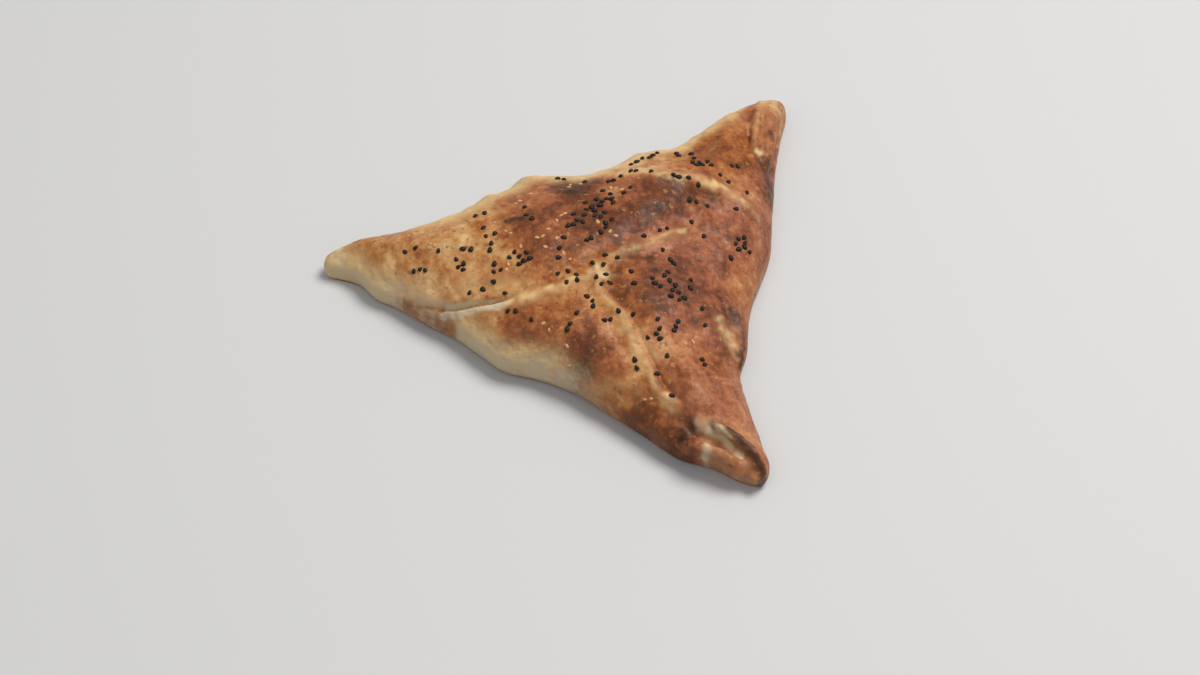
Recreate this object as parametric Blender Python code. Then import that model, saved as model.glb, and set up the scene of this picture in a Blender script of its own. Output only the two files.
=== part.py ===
"""A large triangular fatayer: baked dough with three seams that meet on top, and seeds on its crust.

Sizes are in millimetres and are turned to metres once, where a mesh is made. +X is to the right, +Y away
from the eater and +Z up. The origin is on the table, under the middle of the parcel.
"""

import math
import random

import bmesh
import bpy
import numpy as np
from mathutils import Matrix, Vector, noise
from mathutils.bvhtree import BVHTree

MM = 0.001

# The three tips in plan, and the point on top where the seams meet.
WEST_TIP = (-101.7, 9.9)
NORTH_TIP = (99.8, 103.4)
SOUTH_TIP = (84.8, -103.0)
SEAM_CENTRE = (17.0, -17.0)
TIP_DEPTH = 16.0

# Each side as (share of the way along the straight line between its tips, bulge out of that line).
BACK_SIDE = [
    (0.010, 3.6), (0.05, 4.5), (0.10, 3.3), (0.15, -0.7), (0.23, -1.9), (0.31, -1.2), (0.342, 0.9),
    (0.37, -0.1), (0.388, 0.5), (0.425, 4.4), (0.465, 1.0), (0.53, -5.9), (0.61, -6.4), (0.66, -4.0),
    (0.695, -5.8), (0.73, -7.8), (0.80, -2.6), (0.88, 3.0), (0.955, 3.6),
]
RIGHT_SIDE = [
    (0.03, 2.3), (0.09, 0.7), (0.19, -1.3), (0.31, -1.9), (0.42, -1.7), (0.50, -5.6), (0.57, -9.2),
    (0.68, -9.8), (0.748, -11.9), (0.82, -7.9), (0.91, -2.0), (0.97, 1.4),
]
FRONT_SIDE = [
    (0.035, 3.4), (0.10, 4.2), (0.165, 7.6), (0.25, 5.3), (0.35, 2.9), (0.41, 1.4), (0.49, 2.8),
    (0.565, 7.0), (0.62, 5.1), (0.68, 2.8), (0.76, 2.3), (0.84, 0.9), (0.875, 1.3), (0.93, -2.3),
    (0.975, -0.7), (0.992, 0.5),
]
SIDE_SAMPLES = 160

# Height of the widest line and radius of the shoulder above it: at a tip, mid-side, at the next tip.
RIM_HEIGHTS = [(5.5, 10.5, 7.5), (7.5, 5.0, 6.0), (6.0, 9.0, 5.5)]
SHOULDERS = [(6.0, 11.0, 7.0), (7.0, 10.0, 7.0), (7.0, 12.0, 6.0)]
SHOULDER_SQUASH = 0.92
CROWN_RISE = 16.0
CROWN_REACH = 52.0
UNDERCUT = 0.8
BELOW_TABLE = 2.0

# Lines in the crust in plan, each from the centre of the parcel outwards.
WEST_SEAM = [
    SEAM_CENTRE, (7.3, -18.9), (1.1, -22.2), (-5.2, -23.9), (-15.6, -25.9), (-25.7, -26.9),
    (-36.8, -26.1), (-47.2, -24.2), (-56.4, -20.7), (-64.5, -16.2),
]
NORTH_SEAM = [
    SEAM_CENTRE, (20.0, -10.0), (28.8, -3.1), (34.7, 0.1), (43.2, 4.9), (51.8, 10.1), (56.2, 13.8),
    (60.6, 20.4), (66.0, 28.2), (76.5, 44.5), (84.0, 57.0),
]
SOUTH_SEAM = [
    SEAM_CENTRE, (17.8, -22.7), (20.3, -28.2), (26.1, -34.6), (29.4, -42.2), (33.0, -51.3),
    (37.5, -60.6), (40.7, -68.4), (45.6, -74.4), (58.4, -86.4), (71.0, -94.0), (79.5, -101.0),
]
BACK_CREST = [
    (25.0, 46.0), (35.0, 41.5), (44.0, 38.6), (52.0, 37.4), (61.0, 38.0), (69.0, 37.4), (77.5, 34.0),
    (86.0, 26.0),
]

# Shallow wrinkles that run in from the west tip and one that crosses it.
WRINKLES = [
    [(-68.0, -4.0), (-55.0, -1.0), (-41.0, 0.0)],
    [(-51.0, -21.0), (-35.0, -17.0), (-20.0, -17.0), (-8.0, -12.0)],
    [(-70.5, 4.0), (-69.0, -4.0), (-70.0, -9.0)],
]
RIGHT_TUCK = [(67.5, -15.0), (71.2, -23.0), (72.8, -32.0), (72.8, -41.0)]

# Puffs and hollows of the crust: (x, y, radius, height).
SWELLINGS = [
    (-8.0, 12.0, 17.0, 2.4), (38.0, 22.0, 15.0, 3.0), (5.0, -44.0, 14.0, 2.6), (50.0, -22.0, 16.0, 2.0),
    (-52.0, -6.0, 14.0, 1.6), (-32.0, 20.0, 10.0, 1.2), (64.0, 63.0, 12.0, -1.8), (82.0, 78.0, 18.0, -4.0),
    (58.0, -68.0, 12.0, 1.4), (68.0, -94.0, 11.0, -3.0), (-76.0, 4.0, 9.0, 1.0), (83.0, 86.0, 5.0, -1.4),
    (82.0, 74.0, 5.0, -1.4),
]

# Rolled and pinched dough at the tips: the points (x, y, z) of a roll and its radius at each.
ROLLS = [
    [(88.0, 56.0, 10.0, 2.6), (90.5, 68.0, 12.0, 4.2), (92.0, 81.0, 12.6, 4.9), (93.0, 92.0, 12.4, 5.2),
     (93.0, 97.8, 10.4, 5.0)],
    [(82.0, 56.0, 14.0, 2.0), (85.6, 67.0, 16.0, 2.3), (86.8, 79.0, 16.8, 2.4), (87.6, 90.0, 16.2, 2.4),
     (90.5, 98.4, 12.6, 3.0)],
    [(62.5, -82.5, 20.2, 1.6), (69.5, -87.5, 19.2, 2.1), (76.0, -92.0, 16.6, 2.4), (81.6, -97.2, 13.0, 2.6),
     (83.4, -100.8, 9.6, 2.7), (80.5, -103.2, 7.0, 2.6)],
    [(57.0, -90.0, 12.8, 4.6), (64.0, -93.4, 12.4, 5.0), (71.0, -96.8, 11.0, 4.6), (76.0, -99.8, 8.8, 3.9)],
    [(69.0, -14.0, 19.4, 1.6), (74.0, -22.0, 14.8, 2.4), (76.6, -31.0, 11.6, 2.6), (76.8, -40.0, 9.0, 2.4),
     (75.2, -47.0, 8.6, 2.0)],
]
BEAD_SPACING = 0.8

# Mesh sizes: the fine mesh that is shaped, the faces kept of it, and the noise in the crust.
VOXEL = 1.0
CRUST_FACES = 3500
NOISE = [(22.0, 0.75), (8.0, 0.35)]

# Seeds lie in trails: (start x, start y, end x, end y, scatter to each side, how many).
BLACK_TRAILS = [
    (-1.7, 43.8, 13.5, 39.5, 1, 3), (20, 37.3, 33.3, 41.8, 1.4, 5), (30.9, 53.4, 44, 58.2, 2.2, 6),
    (39.8, 41.1, 48.8, 38.3, 0.8, 2), (48.4, 56.9, 60.3, 59.7, 1.2, 3), (17.8, 32.7, 31.1, 28.1, 3, 4),
    (24.2, 26.5, 11.4, 19.5, 3.2, 9), (19.5, 16.6, 4.3, 8.3, 4, 10), (23.7, 14, 12.7, 0.6, 1.6, 6),
    (3, 2, 0.2, -7.2, 0.6, 3), (13.2, -7.2, 25.4, -6.8, 0.8, 2), (1, -14.3, 8.2, -18.4, 3, 5),
    (14, -11.7, 22.8, -19.2, 4, 6), (10.3, -24.2, 16.1, -31.3, 0.6, 3), (8.7, -34.8, 5, -41.7, 0.8, 3),
    (18.6, -39.3, 25.3, -34.6, 0.6, 2), (30.8, -14.5, 32, -22.6, 0.5, 2), (25.3, -34, 31.1, -35.1, 0.8, 2),
    (34.7, 5.9, 50.6, 11.2, 1.6, 3), (43.6, 1.8, 50.3, -8.9, 1, 3), (38.8, -16.5, 42.8, -23.8, 1, 3),
    (45.6, -11.8, 50.4, -22.8, 1.8, 5), (46.2, -24.4, 52.5, -26.4, 1.6, 4),
    (56.7, -7.5, 55.6, -19.1, 0.5, 2), (42.7, -39.3, 40.9, -52, 1.4, 4), (37.6, -45, 37.6, -47.8, 0.4, 1),
    (50.2, -37.7, 48.5, -42.5, 0.7, 4), (45.8, -54.2, 40.8, -63.9, 0.6, 2),
    (31.8, -53.5, 34.2, -67.6, 0.6, 2), (47.2, -73.2, 47.2, -75.9, 0.3, 1),
    (60.9, -29.7, 60.9, -63.6, 1, 4), (63.5, 10.5, 57.9, 15.4, 0.8, 2), (77.9, 15.2, 79.9, 8, 3, 7),
    (73.7, 5.3, 73.7, 2.3, 0.4, 1), (57.9, 54.3, 64.7, 48.1, 3.4, 7), (74.6, 53.3, 79.1, 55.3, 0.5, 2),
    (49.2, 38.3, 60.4, 35.4, 1, 3), (70.8, 44.2, 81.7, 38.8, 1.4, 3), (52.5, 28.6, 66, 25.2, 1.4, 3),
    (76, 28.6, 76, 25.5, 0.5, 1), (-66.2, -5.5, -54.9, -6.8, 0.8, 3), (-64.2, 4.5, -50.8, 2.1, 1, 3),
    (-42.5, -8.4, -40, -5.4, 2, 4), (-39.3, -0.6, -29.5, -1.6, 1, 3), (-35.7, 19.5, -26.7, 20.1, 0.8, 2),
    (-34, 9.2, -26.2, 1.6, 2.2, 4), (-29.3, -9.8, -23.3, -13.6, 2.6, 4),
    (-20.9, -5.6, -11.6, -10.6, 3, 7), (-34.7, -17.7, -18.6, -20.4, 2, 3),
    (-16, 22.8, -12.8, 11.8, 1.6, 3), (-20.2, -29, -10.5, -36.2, 0.8, 3),
]
WHITE_TRAILS = [
    (-55.2, 3.6, -37.2, 0.1, 1.4, 5), (-27.8, 14.9, -19.4, 1.5, 1.2, 3),
    (-20.6, 19.4, -12.3, 32.5, 1.6, 3), (-10, -0.2, -2.9, 4.5, 1.4, 3), (-4.5, -2, 7.3, -7.3, 2.6, 4),
    (0.6, 33.1, 9.6, 40.4, 1.2, 3), (19.1, 33.3, 26.4, 30.4, 1.6, 3), (3.3, 22.7, 0.5, 2.9, 2, 3),
    (17, 10.8, 26.3, 1.8, 2.4, 3), (-8, -33.5, 6.6, -52, 1.8, 4), (-22.5, -12.7, -15.9, -2.9, 1.6, 3),
    (51.7, -48.6, 55.9, -46.5, 0.8, 2), (35.4, -71, 39.1, -73.4, 1, 2),
]
BLACK_SEED = (2.7, 2.0, 1.5)
WHITE_SEED = (2.3, 1.4, 0.85)
SEED_GAP = 2.2
SEED_SINK = 0.25
SEED_DRAW = 7
SEED_RING = 5

CRUST_BROWN = (0.46, 0.24, 0.11, 1.0)


def smooth_line(points, steps, closed=False):
    """Points on a curve that passes through all the given ones without overshooting."""
    knots = np.asarray(points, float)
    count = len(knots)
    pieces = []
    for index in range(count if closed else count - 1):
        if closed:
            four = [knots[(index + shift) % count] for shift in (-1, 0, 1, 2)]
        else:
            four = [knots[min(max(index + shift, 0), count - 1)] for shift in (-1, 0, 1, 2)]
        a, b, c, d = four
        t1 = max(np.linalg.norm(b - a), 1e-6) ** 0.5
        t2 = t1 + max(np.linalg.norm(c - b), 1e-6) ** 0.5
        t3 = t2 + max(np.linalg.norm(d - c), 1e-6) ** 0.5
        t = np.linspace(t1, t2, steps, endpoint=False)[:, None]
        ab = a + (b - a) * t / t1
        bc = b + (c - b) * (t - t1) / (t2 - t1)
        cd = c + (d - c) * (t - t2) / (t3 - t2)
        left = ab + (bc - ab) * t / t2
        right = bc + (cd - bc) * (t - t1) / (t3 - t1)
        pieces.append(left + (right - left) * (t - t1) / (t2 - t1))
    if not closed:
        pieces.append(knots[-1:])
    return np.concatenate(pieces)


def even_points(line, count):
    """The same line with points at equal distances, the last one left off."""
    lengths = np.linalg.norm(np.diff(line, axis=0), axis=1)
    run = np.concatenate([[0.0], np.cumsum(lengths)])
    at = np.linspace(0.0, run[-1], count, endpoint=False)
    return np.column_stack([np.interp(at, run, line[:, axis]) for axis in range(line.shape[1])])


def outline():
    """The parcel seen from above: one even list of points for all three sides, clockwise from the west."""
    tips = [np.array(WEST_TIP), np.array(NORTH_TIP), np.array(SOUTH_TIP)]
    knots = []
    starts = []
    for index, bulges in enumerate((BACK_SIDE, RIGHT_SIDE, FRONT_SIDE)):
        start = tips[index]
        chord = tips[(index + 1) % 3] - start
        outward = np.array([-chord[1], chord[0]]) / np.linalg.norm(chord)
        starts.append(len(knots))
        knots.append(start)
        knots.extend(start + chord * share + outward * bulge for share, bulge in bulges)
    steps = 12
    curve = smooth_line(knots, steps, closed=True)
    curve = np.vstack([curve, curve[:1]])
    starts.append(len(knots))
    sides = [curve[starts[i] * steps:starts[i + 1] * steps + 1] for i in range(3)]
    return np.concatenate([even_points(side, SIDE_SAMPLES) for side in sides])


def around(levels):
    """A value for every point of the outline, eased from each tip to mid-side and on to the next tip."""
    share = np.arange(SIDE_SAMPLES) / SIDE_SAMPLES
    swell = np.sin(math.pi * share) ** 0.6
    sides = [(a + (c - a) * share) * (1 - swell) + b * swell for a, b, c in levels]
    return np.concatenate(sides)


def spine():
    """The inner line that each outline point is drawn in to: from tip to tip by way of the centre."""
    centre = np.array(SEAM_CENTRE)
    ends = []
    for tip in (WEST_TIP, NORTH_TIP, SOUTH_TIP):
        inward = centre - np.array(tip)
        ends.append(np.array(tip) + inward / np.linalg.norm(inward) * TIP_DEPTH)
    share = (np.arange(SIDE_SAMPLES) / SIDE_SAMPLES)[:, None]
    rows = []
    for index in range(3):
        first = ends[index] + (centre - ends[index]) * np.minimum(share * 2, 1.0)
        second = (ends[(index + 1) % 3] - centre) * np.maximum(share * 2 - 1, 0.0)
        rows.append(first + second)
    return np.concatenate(rows)


def beside(plan, line):
    """Distance of plan points from a line, share of the way along it, and distance signed + on its left."""
    line = np.asarray(line, float)
    steps = np.diff(line, axis=0)
    lengths = np.linalg.norm(steps, axis=1)
    run = np.concatenate([[0.0], np.cumsum(lengths)])
    nearest = np.full(len(plan), 1e9)
    share = np.zeros(len(plan))
    signed = np.zeros(len(plan))
    for index, step in enumerate(steps):
        if lengths[index] < 1e-9:
            continue
        offset = plan - line[index]
        along = np.clip(offset @ step / lengths[index] ** 2, 0.0, 1.0)
        gap = offset - along[:, None] * step
        far = np.hypot(gap[:, 0], gap[:, 1])
        closer = far < nearest
        left = np.sign(step[0] * offset[:, 1] - step[1] * offset[:, 0])
        nearest[closer] = far[closer]
        share[closer] = (run[index] + along[closer] * lengths[index]) / run[-1]
        signed[closer] = (far * left)[closer]
    return nearest, share, signed


def bump(distance, width):
    """A rounded ridge: 1 on the line and next to nothing two widths away."""
    return np.exp(-(distance / width) ** 2)


def ease(value, low, high):
    """0 below low, 1 above high and smooth in between, also with low above high."""
    share = np.clip((value - low) / (high - low), 0.0, 1.0)
    return share * share * (3 - 2 * share)


EDGE = outline()
EDGE_LOOP = np.vstack([EDGE, EDGE[:1]])
RIM = around(RIM_HEIGHTS)
SHOULDER = around(SHOULDERS)


def from_edge(plan, values):
    """A value given around the outline, blended over the inside so that the nearest edge counts most."""
    result = np.empty(len(plan))
    for start in range(0, len(plan), 4000):
        part = plan[start:start + 4000]
        square = ((part[:, None, :] - EDGE[None, :, :]) ** 2).sum(axis=2)
        weight = 1.0 / (square + 0.5) ** 2
        result[start:start + 4000] = weight @ values / weight.sum(axis=1)
    return result


def puffed_top(plan):
    """Height of the top of the parcel without its seams and wrinkles, for points inside the outline."""
    far = beside(plan, EDGE_LOOP)[0]
    shoulder = from_edge(plan, SHOULDER)
    round_in = np.clip(far / shoulder, 0.0, 1.0)
    height = from_edge(plan, RIM) + shoulder * SHOULDER_SQUASH * np.sqrt(1 - (1 - round_in) ** 2)
    rise = np.clip((far - 2.0) / CROWN_REACH, 0.0, 1.0)
    height = height + CROWN_RISE * (1 - (1 - rise) ** 2)
    for x, y, radius, swell in SWELLINGS:
        height = height + swell * bump(np.hypot(plan[:, 0] - x, plan[:, 1] - y), radius)
    return height


def seam_relief(plan, edge_far):
    """Heights of the seams, the crest behind them and the wrinkles, to add to the puffed top."""
    inner = ease(edge_far, 0.5, 4.5)

    west, west_share, west_side = beside(plan, smooth_line(WEST_SEAM, 8))
    lapped = ease(west_share, 0.35, 0.5)
    ended = ease(west_share, 1.0, 0.94)
    lap = 1.1 * bump(west_side + 4.2, 2.2) - 1.4 * bump(west_side + 2.1, 0.8) + 0.8 * bump(west_side, 1.8)

    south, south_share, south_side = beside(plan, smooth_line(SOUTH_SEAM, 8))
    pinched = ease(south_share, 0.74, 0.58)
    open_end = ease(south_share, 0.62, 0.74) * ease(south_share, 0.98, 0.9)

    north, north_share, _ = beside(plan, smooth_line(NORTH_SEAM, 8))
    kneaded = 1.0 + 0.7 * np.array([noise.noise(Vector((x, y, 9.0)) / 5.0) for x, y in plan])

    valley = np.maximum.reduce([
        1.3 * bump(west, 9.0) * ended,
        2.4 * bump(south, 9.0) * ease(south_share, 0.85, 0.6),
        1.8 * bump(north, 9.0) * ease(north_share, 0.9, 0.6),
    ])
    ridge = kneaded * np.maximum.reduce([
        1.5 * bump(west, 2.8) * (1 - lapped),
        1.4 * bump(south, 3.1) * pinched,
        1.5 * bump(north, 3.4) * ease(north_share, 0.75, 0.5),
    ])
    height = ridge - valley + lap * lapped * ended
    height -= 0.8 * bump(south_side - 3.7, 1.0) * pinched * ease(south_share, 0.0, 0.2)
    height -= 2.4 * bump(south_side + 1.0, 2.2) * open_end

    far, share, side = beside(plan, smooth_line(BACK_CREST, 8))
    height += 3.0 * bump(far, 5.0) * np.sin(math.pi * np.clip(share, 0.0, 1.0)) ** 0.5

    for wrinkle in WRINKLES:
        far, share, side = beside(plan, smooth_line(wrinkle, 8))
        faded = np.sin(math.pi * np.clip(share, 0.0, 1.0)) ** 0.5
        height += faded * (0.5 * bump(side - 2.8, 2.4) - 0.6 * bump(far, 1.7))

    far, share, side = beside(plan, smooth_line(RIGHT_TUCK, 8))
    height -= 2.2 * bump(far, 2.3) * np.sin(math.pi * np.clip(share, 0.0, 1.0)) ** 0.5

    x, y = SEAM_CENTRE
    out = np.hypot(plan[:, 0] - x, plan[:, 1] - y)
    turn = np.arctan2(plan[:, 1] - y, plan[:, 0] - x)
    height += 0.8 * bump(out, 4.0) + 0.7 * np.cos(7 * turn) * bump(out - 6.0, 3.0)
    return height * inner


def unevenness(plan, height):
    """The slow waves of puffed dough, from fixed noise."""
    total = np.zeros(len(plan))
    for size, depth in NOISE:
        total += [depth * noise.noise(Vector((x, y, z)) / size) for (x, y), z in zip(plan, height)]
    return total


def parcel_mesh():
    """Closed mesh of the puffed parcel in millimetres, reaching a little below the table."""
    inner = spine()
    reach = np.linalg.norm(inner - EDGE, axis=1)
    inward = (inner - EDGE) / reach[:, None]
    rows = []
    for turn in np.linspace(math.pi / 2, 0.0, 8, endpoint=False):
        inset = np.minimum(UNDERCUT * RIM * (1 - math.cos(turn)), reach * 0.6)
        level = RIM - (RIM + BELOW_TABLE) * math.sin(turn)
        rows.append(np.column_stack([EDGE + inward * inset[:, None], level]))
    for share in np.linspace(0.0, 1.0, 60) ** 1.9:
        plan = EDGE + (inner - EDGE) * share
        rows.append(np.column_stack([plan, puffed_top(plan)]))
    loop = len(EDGE)
    faces = []
    for row in range(len(rows) - 1):
        for index in range(loop):
            after = (index + 1) % loop
            a = row * loop
            b = a + loop
            faces.append((a + after, a + index, b + index, b + after))
    faces.append(tuple(range(loop)))
    return np.concatenate(rows), faces


def add_ball(mesh, centre, radius):
    """Add one round bead to a mesh being built."""
    place = Matrix.Translation(centre)
    bmesh.ops.create_icosphere(mesh, subdivisions=2, radius=radius, matrix=place)


def parcel_with_rolls():
    """The parcel and its rolled tips as one object, still overlapping, in millimetres."""
    verts, faces = parcel_mesh()
    base = bpy.data.meshes.new("parcel")
    base.from_pydata([tuple(v) for v in verts], [], faces)
    mesh = bmesh.new()
    mesh.from_mesh(base)
    bpy.data.meshes.remove(base)
    bmesh.ops.remove_doubles(mesh, verts=mesh.verts, dist=0.02)
    bmesh.ops.recalc_face_normals(mesh, faces=mesh.faces)
    for roll in ROLLS:
        line = smooth_line(roll, 16)
        length = np.linalg.norm(np.diff(line[:, :3], axis=0), axis=1).sum()
        for x, y, z, radius in even_points(line, int(length / BEAD_SPACING)):
            add_ball(mesh, Vector((x, y, z)), radius)
    data = bpy.data.meshes.new("fatayer")
    mesh.to_mesh(data)
    mesh.free()
    thing = bpy.data.objects.new("fatayer", data)
    bpy.context.scene.collection.objects.link(thing)
    return thing


def keep_result(thing):
    """Apply every modifier of an object by taking the finished mesh in place of its own."""
    depsgraph = bpy.context.evaluated_depsgraph_get()
    data = bpy.data.meshes.new_from_object(thing.evaluated_get(depsgraph))
    thing.modifiers.clear()
    thing.data = data


def fuse_dough(thing):
    """One skin around the parcel and its rolls."""
    remesh = thing.modifiers.new("one_skin", "REMESH")
    remesh.mode = "VOXEL"
    remesh.voxel_size = VOXEL
    remesh.adaptivity = 0.0
    keep_result(thing)
    soften = thing.modifiers.new("soften", "SMOOTH")
    soften.factor = 0.5
    soften.iterations = 2
    keep_result(thing)


def shape_crust(thing):
    """Raise the seams, the wrinkles and the slow waves on the upward faces."""
    data = thing.data
    count = len(data.vertices)
    place = np.empty(count * 3)
    data.vertices.foreach_get("co", place)
    place = place.reshape(-1, 3)
    normal = np.empty(count * 3)
    data.vertices.foreach_get("normal", normal)
    normal = normal.reshape(-1, 3)
    upward = ease(normal[:, 2], 0.05, 0.6)
    plan = place[:, :2]
    edge_far = beside(plan, EDGE_LOOP)[0]
    place[:, 2] += seam_relief(plan, edge_far) * upward
    lift = ease(place[:, 2], 1.0, 6.0)
    place += normal * (unevenness(plan, place[:, 2]) * lift)[:, None]
    data.vertices.foreach_set("co", place.ravel())
    data.update()


def thin_out(thing, faces):
    """Keep about as many triangles as asked."""
    data = thing.data
    triangles = sum(len(face.vertices) - 2 for face in data.polygons)
    fewer = thing.modifiers.new("fewer", "DECIMATE")
    fewer.ratio = faces / triangles
    fewer.use_collapse_triangulate = True
    keep_result(thing)


def cut_flat(thing):
    """Cut the dough off at the table, so that it stands on a flat face."""
    mesh = bmesh.new()
    mesh.from_mesh(thing.data)
    everything = mesh.verts[:] + mesh.edges[:] + mesh.faces[:]
    bmesh.ops.bisect_plane(
        mesh, geom=everything, dist=1e-4, plane_co=(0, 0, 0), plane_no=(0, 0, -1), clear_outer=True
    )
    bmesh.ops.dissolve_degenerate(mesh, edges=mesh.edges, dist=0.02)
    rim = [edge for edge in mesh.edges if edge.is_boundary]
    bmesh.ops.holes_fill(mesh, edges=rim)
    bmesh.ops.recalc_face_normals(mesh, faces=mesh.faces)
    mesh.to_mesh(thing.data)
    mesh.free()


def seed_places(trails, taken):
    """Plan positions of seeds scattered along trails, none closer to another than the seed gap."""
    draw = random.Random(SEED_DRAW)
    places = []
    for x0, y0, x1, y1, scatter, count in trails:
        length = math.hypot(x1 - x0, y1 - y0)
        across = (-(y1 - y0) / length, (x1 - x0) / length)
        for index in range(count):
            for _ in range(30):
                share = (index + draw.uniform(-0.4, 1.4)) / count
                aside = draw.gauss(0.0, scatter * 0.6)
                x = x0 + (x1 - x0) * share + across[0] * aside
                y = y0 + (y1 - y0) * share + across[1] * aside
                if all(math.hypot(x - a, y - b) > SEED_GAP for a, b in taken + places):
                    places.append((x, y))
                    break
    return places


def seed_mesh(size):
    """Closed mesh of one seed, pointed at both ends, lying along X."""
    length, width, height = (value / 2 for value in size)
    rings = [(-0.55, 0.88), (0.55, 0.88)]
    verts = [(-length, 0.0, 0.0)]
    for along, share in rings:
        for index in range(SEED_RING):
            turn = 2 * math.pi * index / SEED_RING
            verts.append((along * length, share * width * math.cos(turn), share * height * math.sin(turn)))
    verts.append((length, 0.0, 0.0))
    last = len(verts) - 1
    faces = []
    for index in range(SEED_RING):
        after = (index + 1) % SEED_RING
        a = 1 + index
        b = 1 + after
        c = a + SEED_RING
        d = b + SEED_RING
        faces += [(0, b, a), (a, b, d, c), (c, d, last)]
    return verts, faces


def scatter_seeds(thing, material):
    """Set black and white seeds into the crust and fuse them to it."""
    data = thing.data
    tree = BVHTree.FromPolygons([v.co for v in data.vertices], [f.vertices for f in data.polygons])
    draw = random.Random(SEED_DRAW + 1)
    black = seed_places(BLACK_TRAILS, [])
    white = seed_places(WHITE_TRAILS, black)
    mesh = bmesh.new()
    for places, size in ((black, BLACK_SEED), (white, WHITE_SEED)):
        verts, faces = seed_mesh(size)
        for x, y in places:
            point, normal, _, _ = tree.ray_cast(Vector((x, y, 200.0)), Vector((0.0, 0.0, -1.0)))
            turn = Matrix.Rotation(draw.uniform(0.0, math.pi), 4, "Z")
            stand = normal.to_track_quat("Z", "Y").to_matrix().to_4x4()
            centre = point + normal * (size[2] / 2 - SEED_SINK - size[2] * 0.2)
            place = Matrix.Translation(centre) @ stand @ turn
            made = [mesh.verts.new(place @ Vector(v)) for v in verts]
            for face in faces:
                mesh.faces.new([made[i] for i in face])
    bmesh.ops.recalc_face_normals(mesh, faces=mesh.faces)
    data = bpy.data.meshes.new("seeds")
    mesh.to_mesh(data)
    mesh.free()
    seeds = bpy.data.objects.new("seeds", data)
    seeds.data.materials.append(material)
    group = bpy.data.collections.new("seeds")
    bpy.context.scene.collection.children.link(group)
    group.objects.link(seeds)
    join = thing.modifiers.new("seeds", "BOOLEAN")
    join.operation = "UNION"
    join.operand_type = "COLLECTION"
    join.collection = group
    join.solver = "EXACT"
    keep_result(thing)
    bpy.data.objects.remove(seeds, do_unlink=True)
    bpy.data.collections.remove(group)


def crust_material():
    """Baked golden-brown dough."""
    material = bpy.data.materials.new("baked_crust")
    material.use_nodes = True
    shader = material.node_tree.nodes["Principled BSDF"]
    shader.inputs["Base Color"].default_value = CRUST_BROWN
    shader.inputs["Roughness"].default_value = 0.55
    return material


def to_metres(thing):
    """Turn millimetres into metres, with the middle of the outline over the origin."""
    spots = np.array([tuple(v.co) for v in thing.data.vertices])
    low = spots.min(axis=0)
    high = spots.max(axis=0)
    middle = (low + high) / 2
    thing.data.transform(Matrix.Translation((-middle[0], -middle[1], -low[2])))
    thing.data.transform(Matrix.Scale(MM, 4))


def main():
    for thing in list(bpy.data.objects):
        bpy.data.objects.remove(thing, do_unlink=True)
    material = crust_material()
    fatayer = parcel_with_rolls()
    fuse_dough(fatayer)
    shape_crust(fatayer)
    thin_out(fatayer, CRUST_FACES)
    cut_flat(fatayer)
    fatayer.data.materials.append(material)
    scatter_seeds(fatayer, material)
    to_metres(fatayer)


main()
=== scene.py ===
"""The looks of a large triangular fatayer: blistered golden crust, pinched seams, black and white seeds.

Shapes are worked out in millimetres, as the solid's are, and are turned to metres once, when a mesh is done.
"""

import math
import random

import bmesh
import bpy
import numpy as np
from mathutils import Matrix, Vector, noise
from mathutils.bvhtree import BVHTree


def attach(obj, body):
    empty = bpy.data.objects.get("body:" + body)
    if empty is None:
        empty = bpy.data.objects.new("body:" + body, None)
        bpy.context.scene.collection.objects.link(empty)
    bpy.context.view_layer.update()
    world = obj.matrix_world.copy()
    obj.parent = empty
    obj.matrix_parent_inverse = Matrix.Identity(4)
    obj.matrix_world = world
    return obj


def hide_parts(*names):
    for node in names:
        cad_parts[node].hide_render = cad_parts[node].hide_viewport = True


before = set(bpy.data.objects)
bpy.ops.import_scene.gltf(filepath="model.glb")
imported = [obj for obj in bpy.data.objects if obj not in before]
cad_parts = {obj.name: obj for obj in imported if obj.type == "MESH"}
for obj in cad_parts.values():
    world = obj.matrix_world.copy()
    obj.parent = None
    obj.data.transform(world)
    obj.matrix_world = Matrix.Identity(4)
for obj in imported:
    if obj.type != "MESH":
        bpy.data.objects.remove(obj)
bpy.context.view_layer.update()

MM = 0.001
NODE = "fatayer"

# The three tips in plan, and the point on top where the seams meet.
WEST_TIP = (-101.7, 9.9)
NORTH_TIP = (99.8, 103.4)
SOUTH_TIP = (84.8, -103.0)
SEAM_CENTRE = (17.0, -17.0)
TIP_DEPTH = 16.0

# Each side as (share of the way along the straight line between its tips, bulge out of that line).
BACK_SIDE = [
    (0.010, 3.6), (0.05, 4.5), (0.10, 3.3), (0.15, -0.7), (0.23, -1.9), (0.31, -1.2), (0.342, 0.9),
    (0.37, -0.1), (0.388, 0.5), (0.425, 4.4), (0.465, 1.0), (0.53, -5.9), (0.61, -6.4), (0.66, -4.0),
    (0.695, -5.8), (0.73, -7.8), (0.80, -2.6), (0.88, 3.0), (0.955, 3.6),
]
RIGHT_SIDE = [
    (0.03, 2.3), (0.09, 0.7), (0.19, -1.3), (0.31, -1.9), (0.42, -1.7), (0.50, -5.6), (0.57, -9.2),
    (0.68, -9.8), (0.748, -11.9), (0.82, -7.9), (0.91, -2.0), (0.97, 1.4),
]
FRONT_SIDE = [
    (0.035, 3.4), (0.10, 4.2), (0.165, 7.6), (0.25, 5.3), (0.35, 2.9), (0.41, 1.4), (0.49, 2.8),
    (0.565, 7.0), (0.62, 5.1), (0.68, 2.8), (0.76, 2.3), (0.84, 0.9), (0.875, 1.3), (0.93, -2.3),
    (0.975, -0.7), (0.992, 0.5),
]
SIDE_SAMPLES = 160

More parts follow.
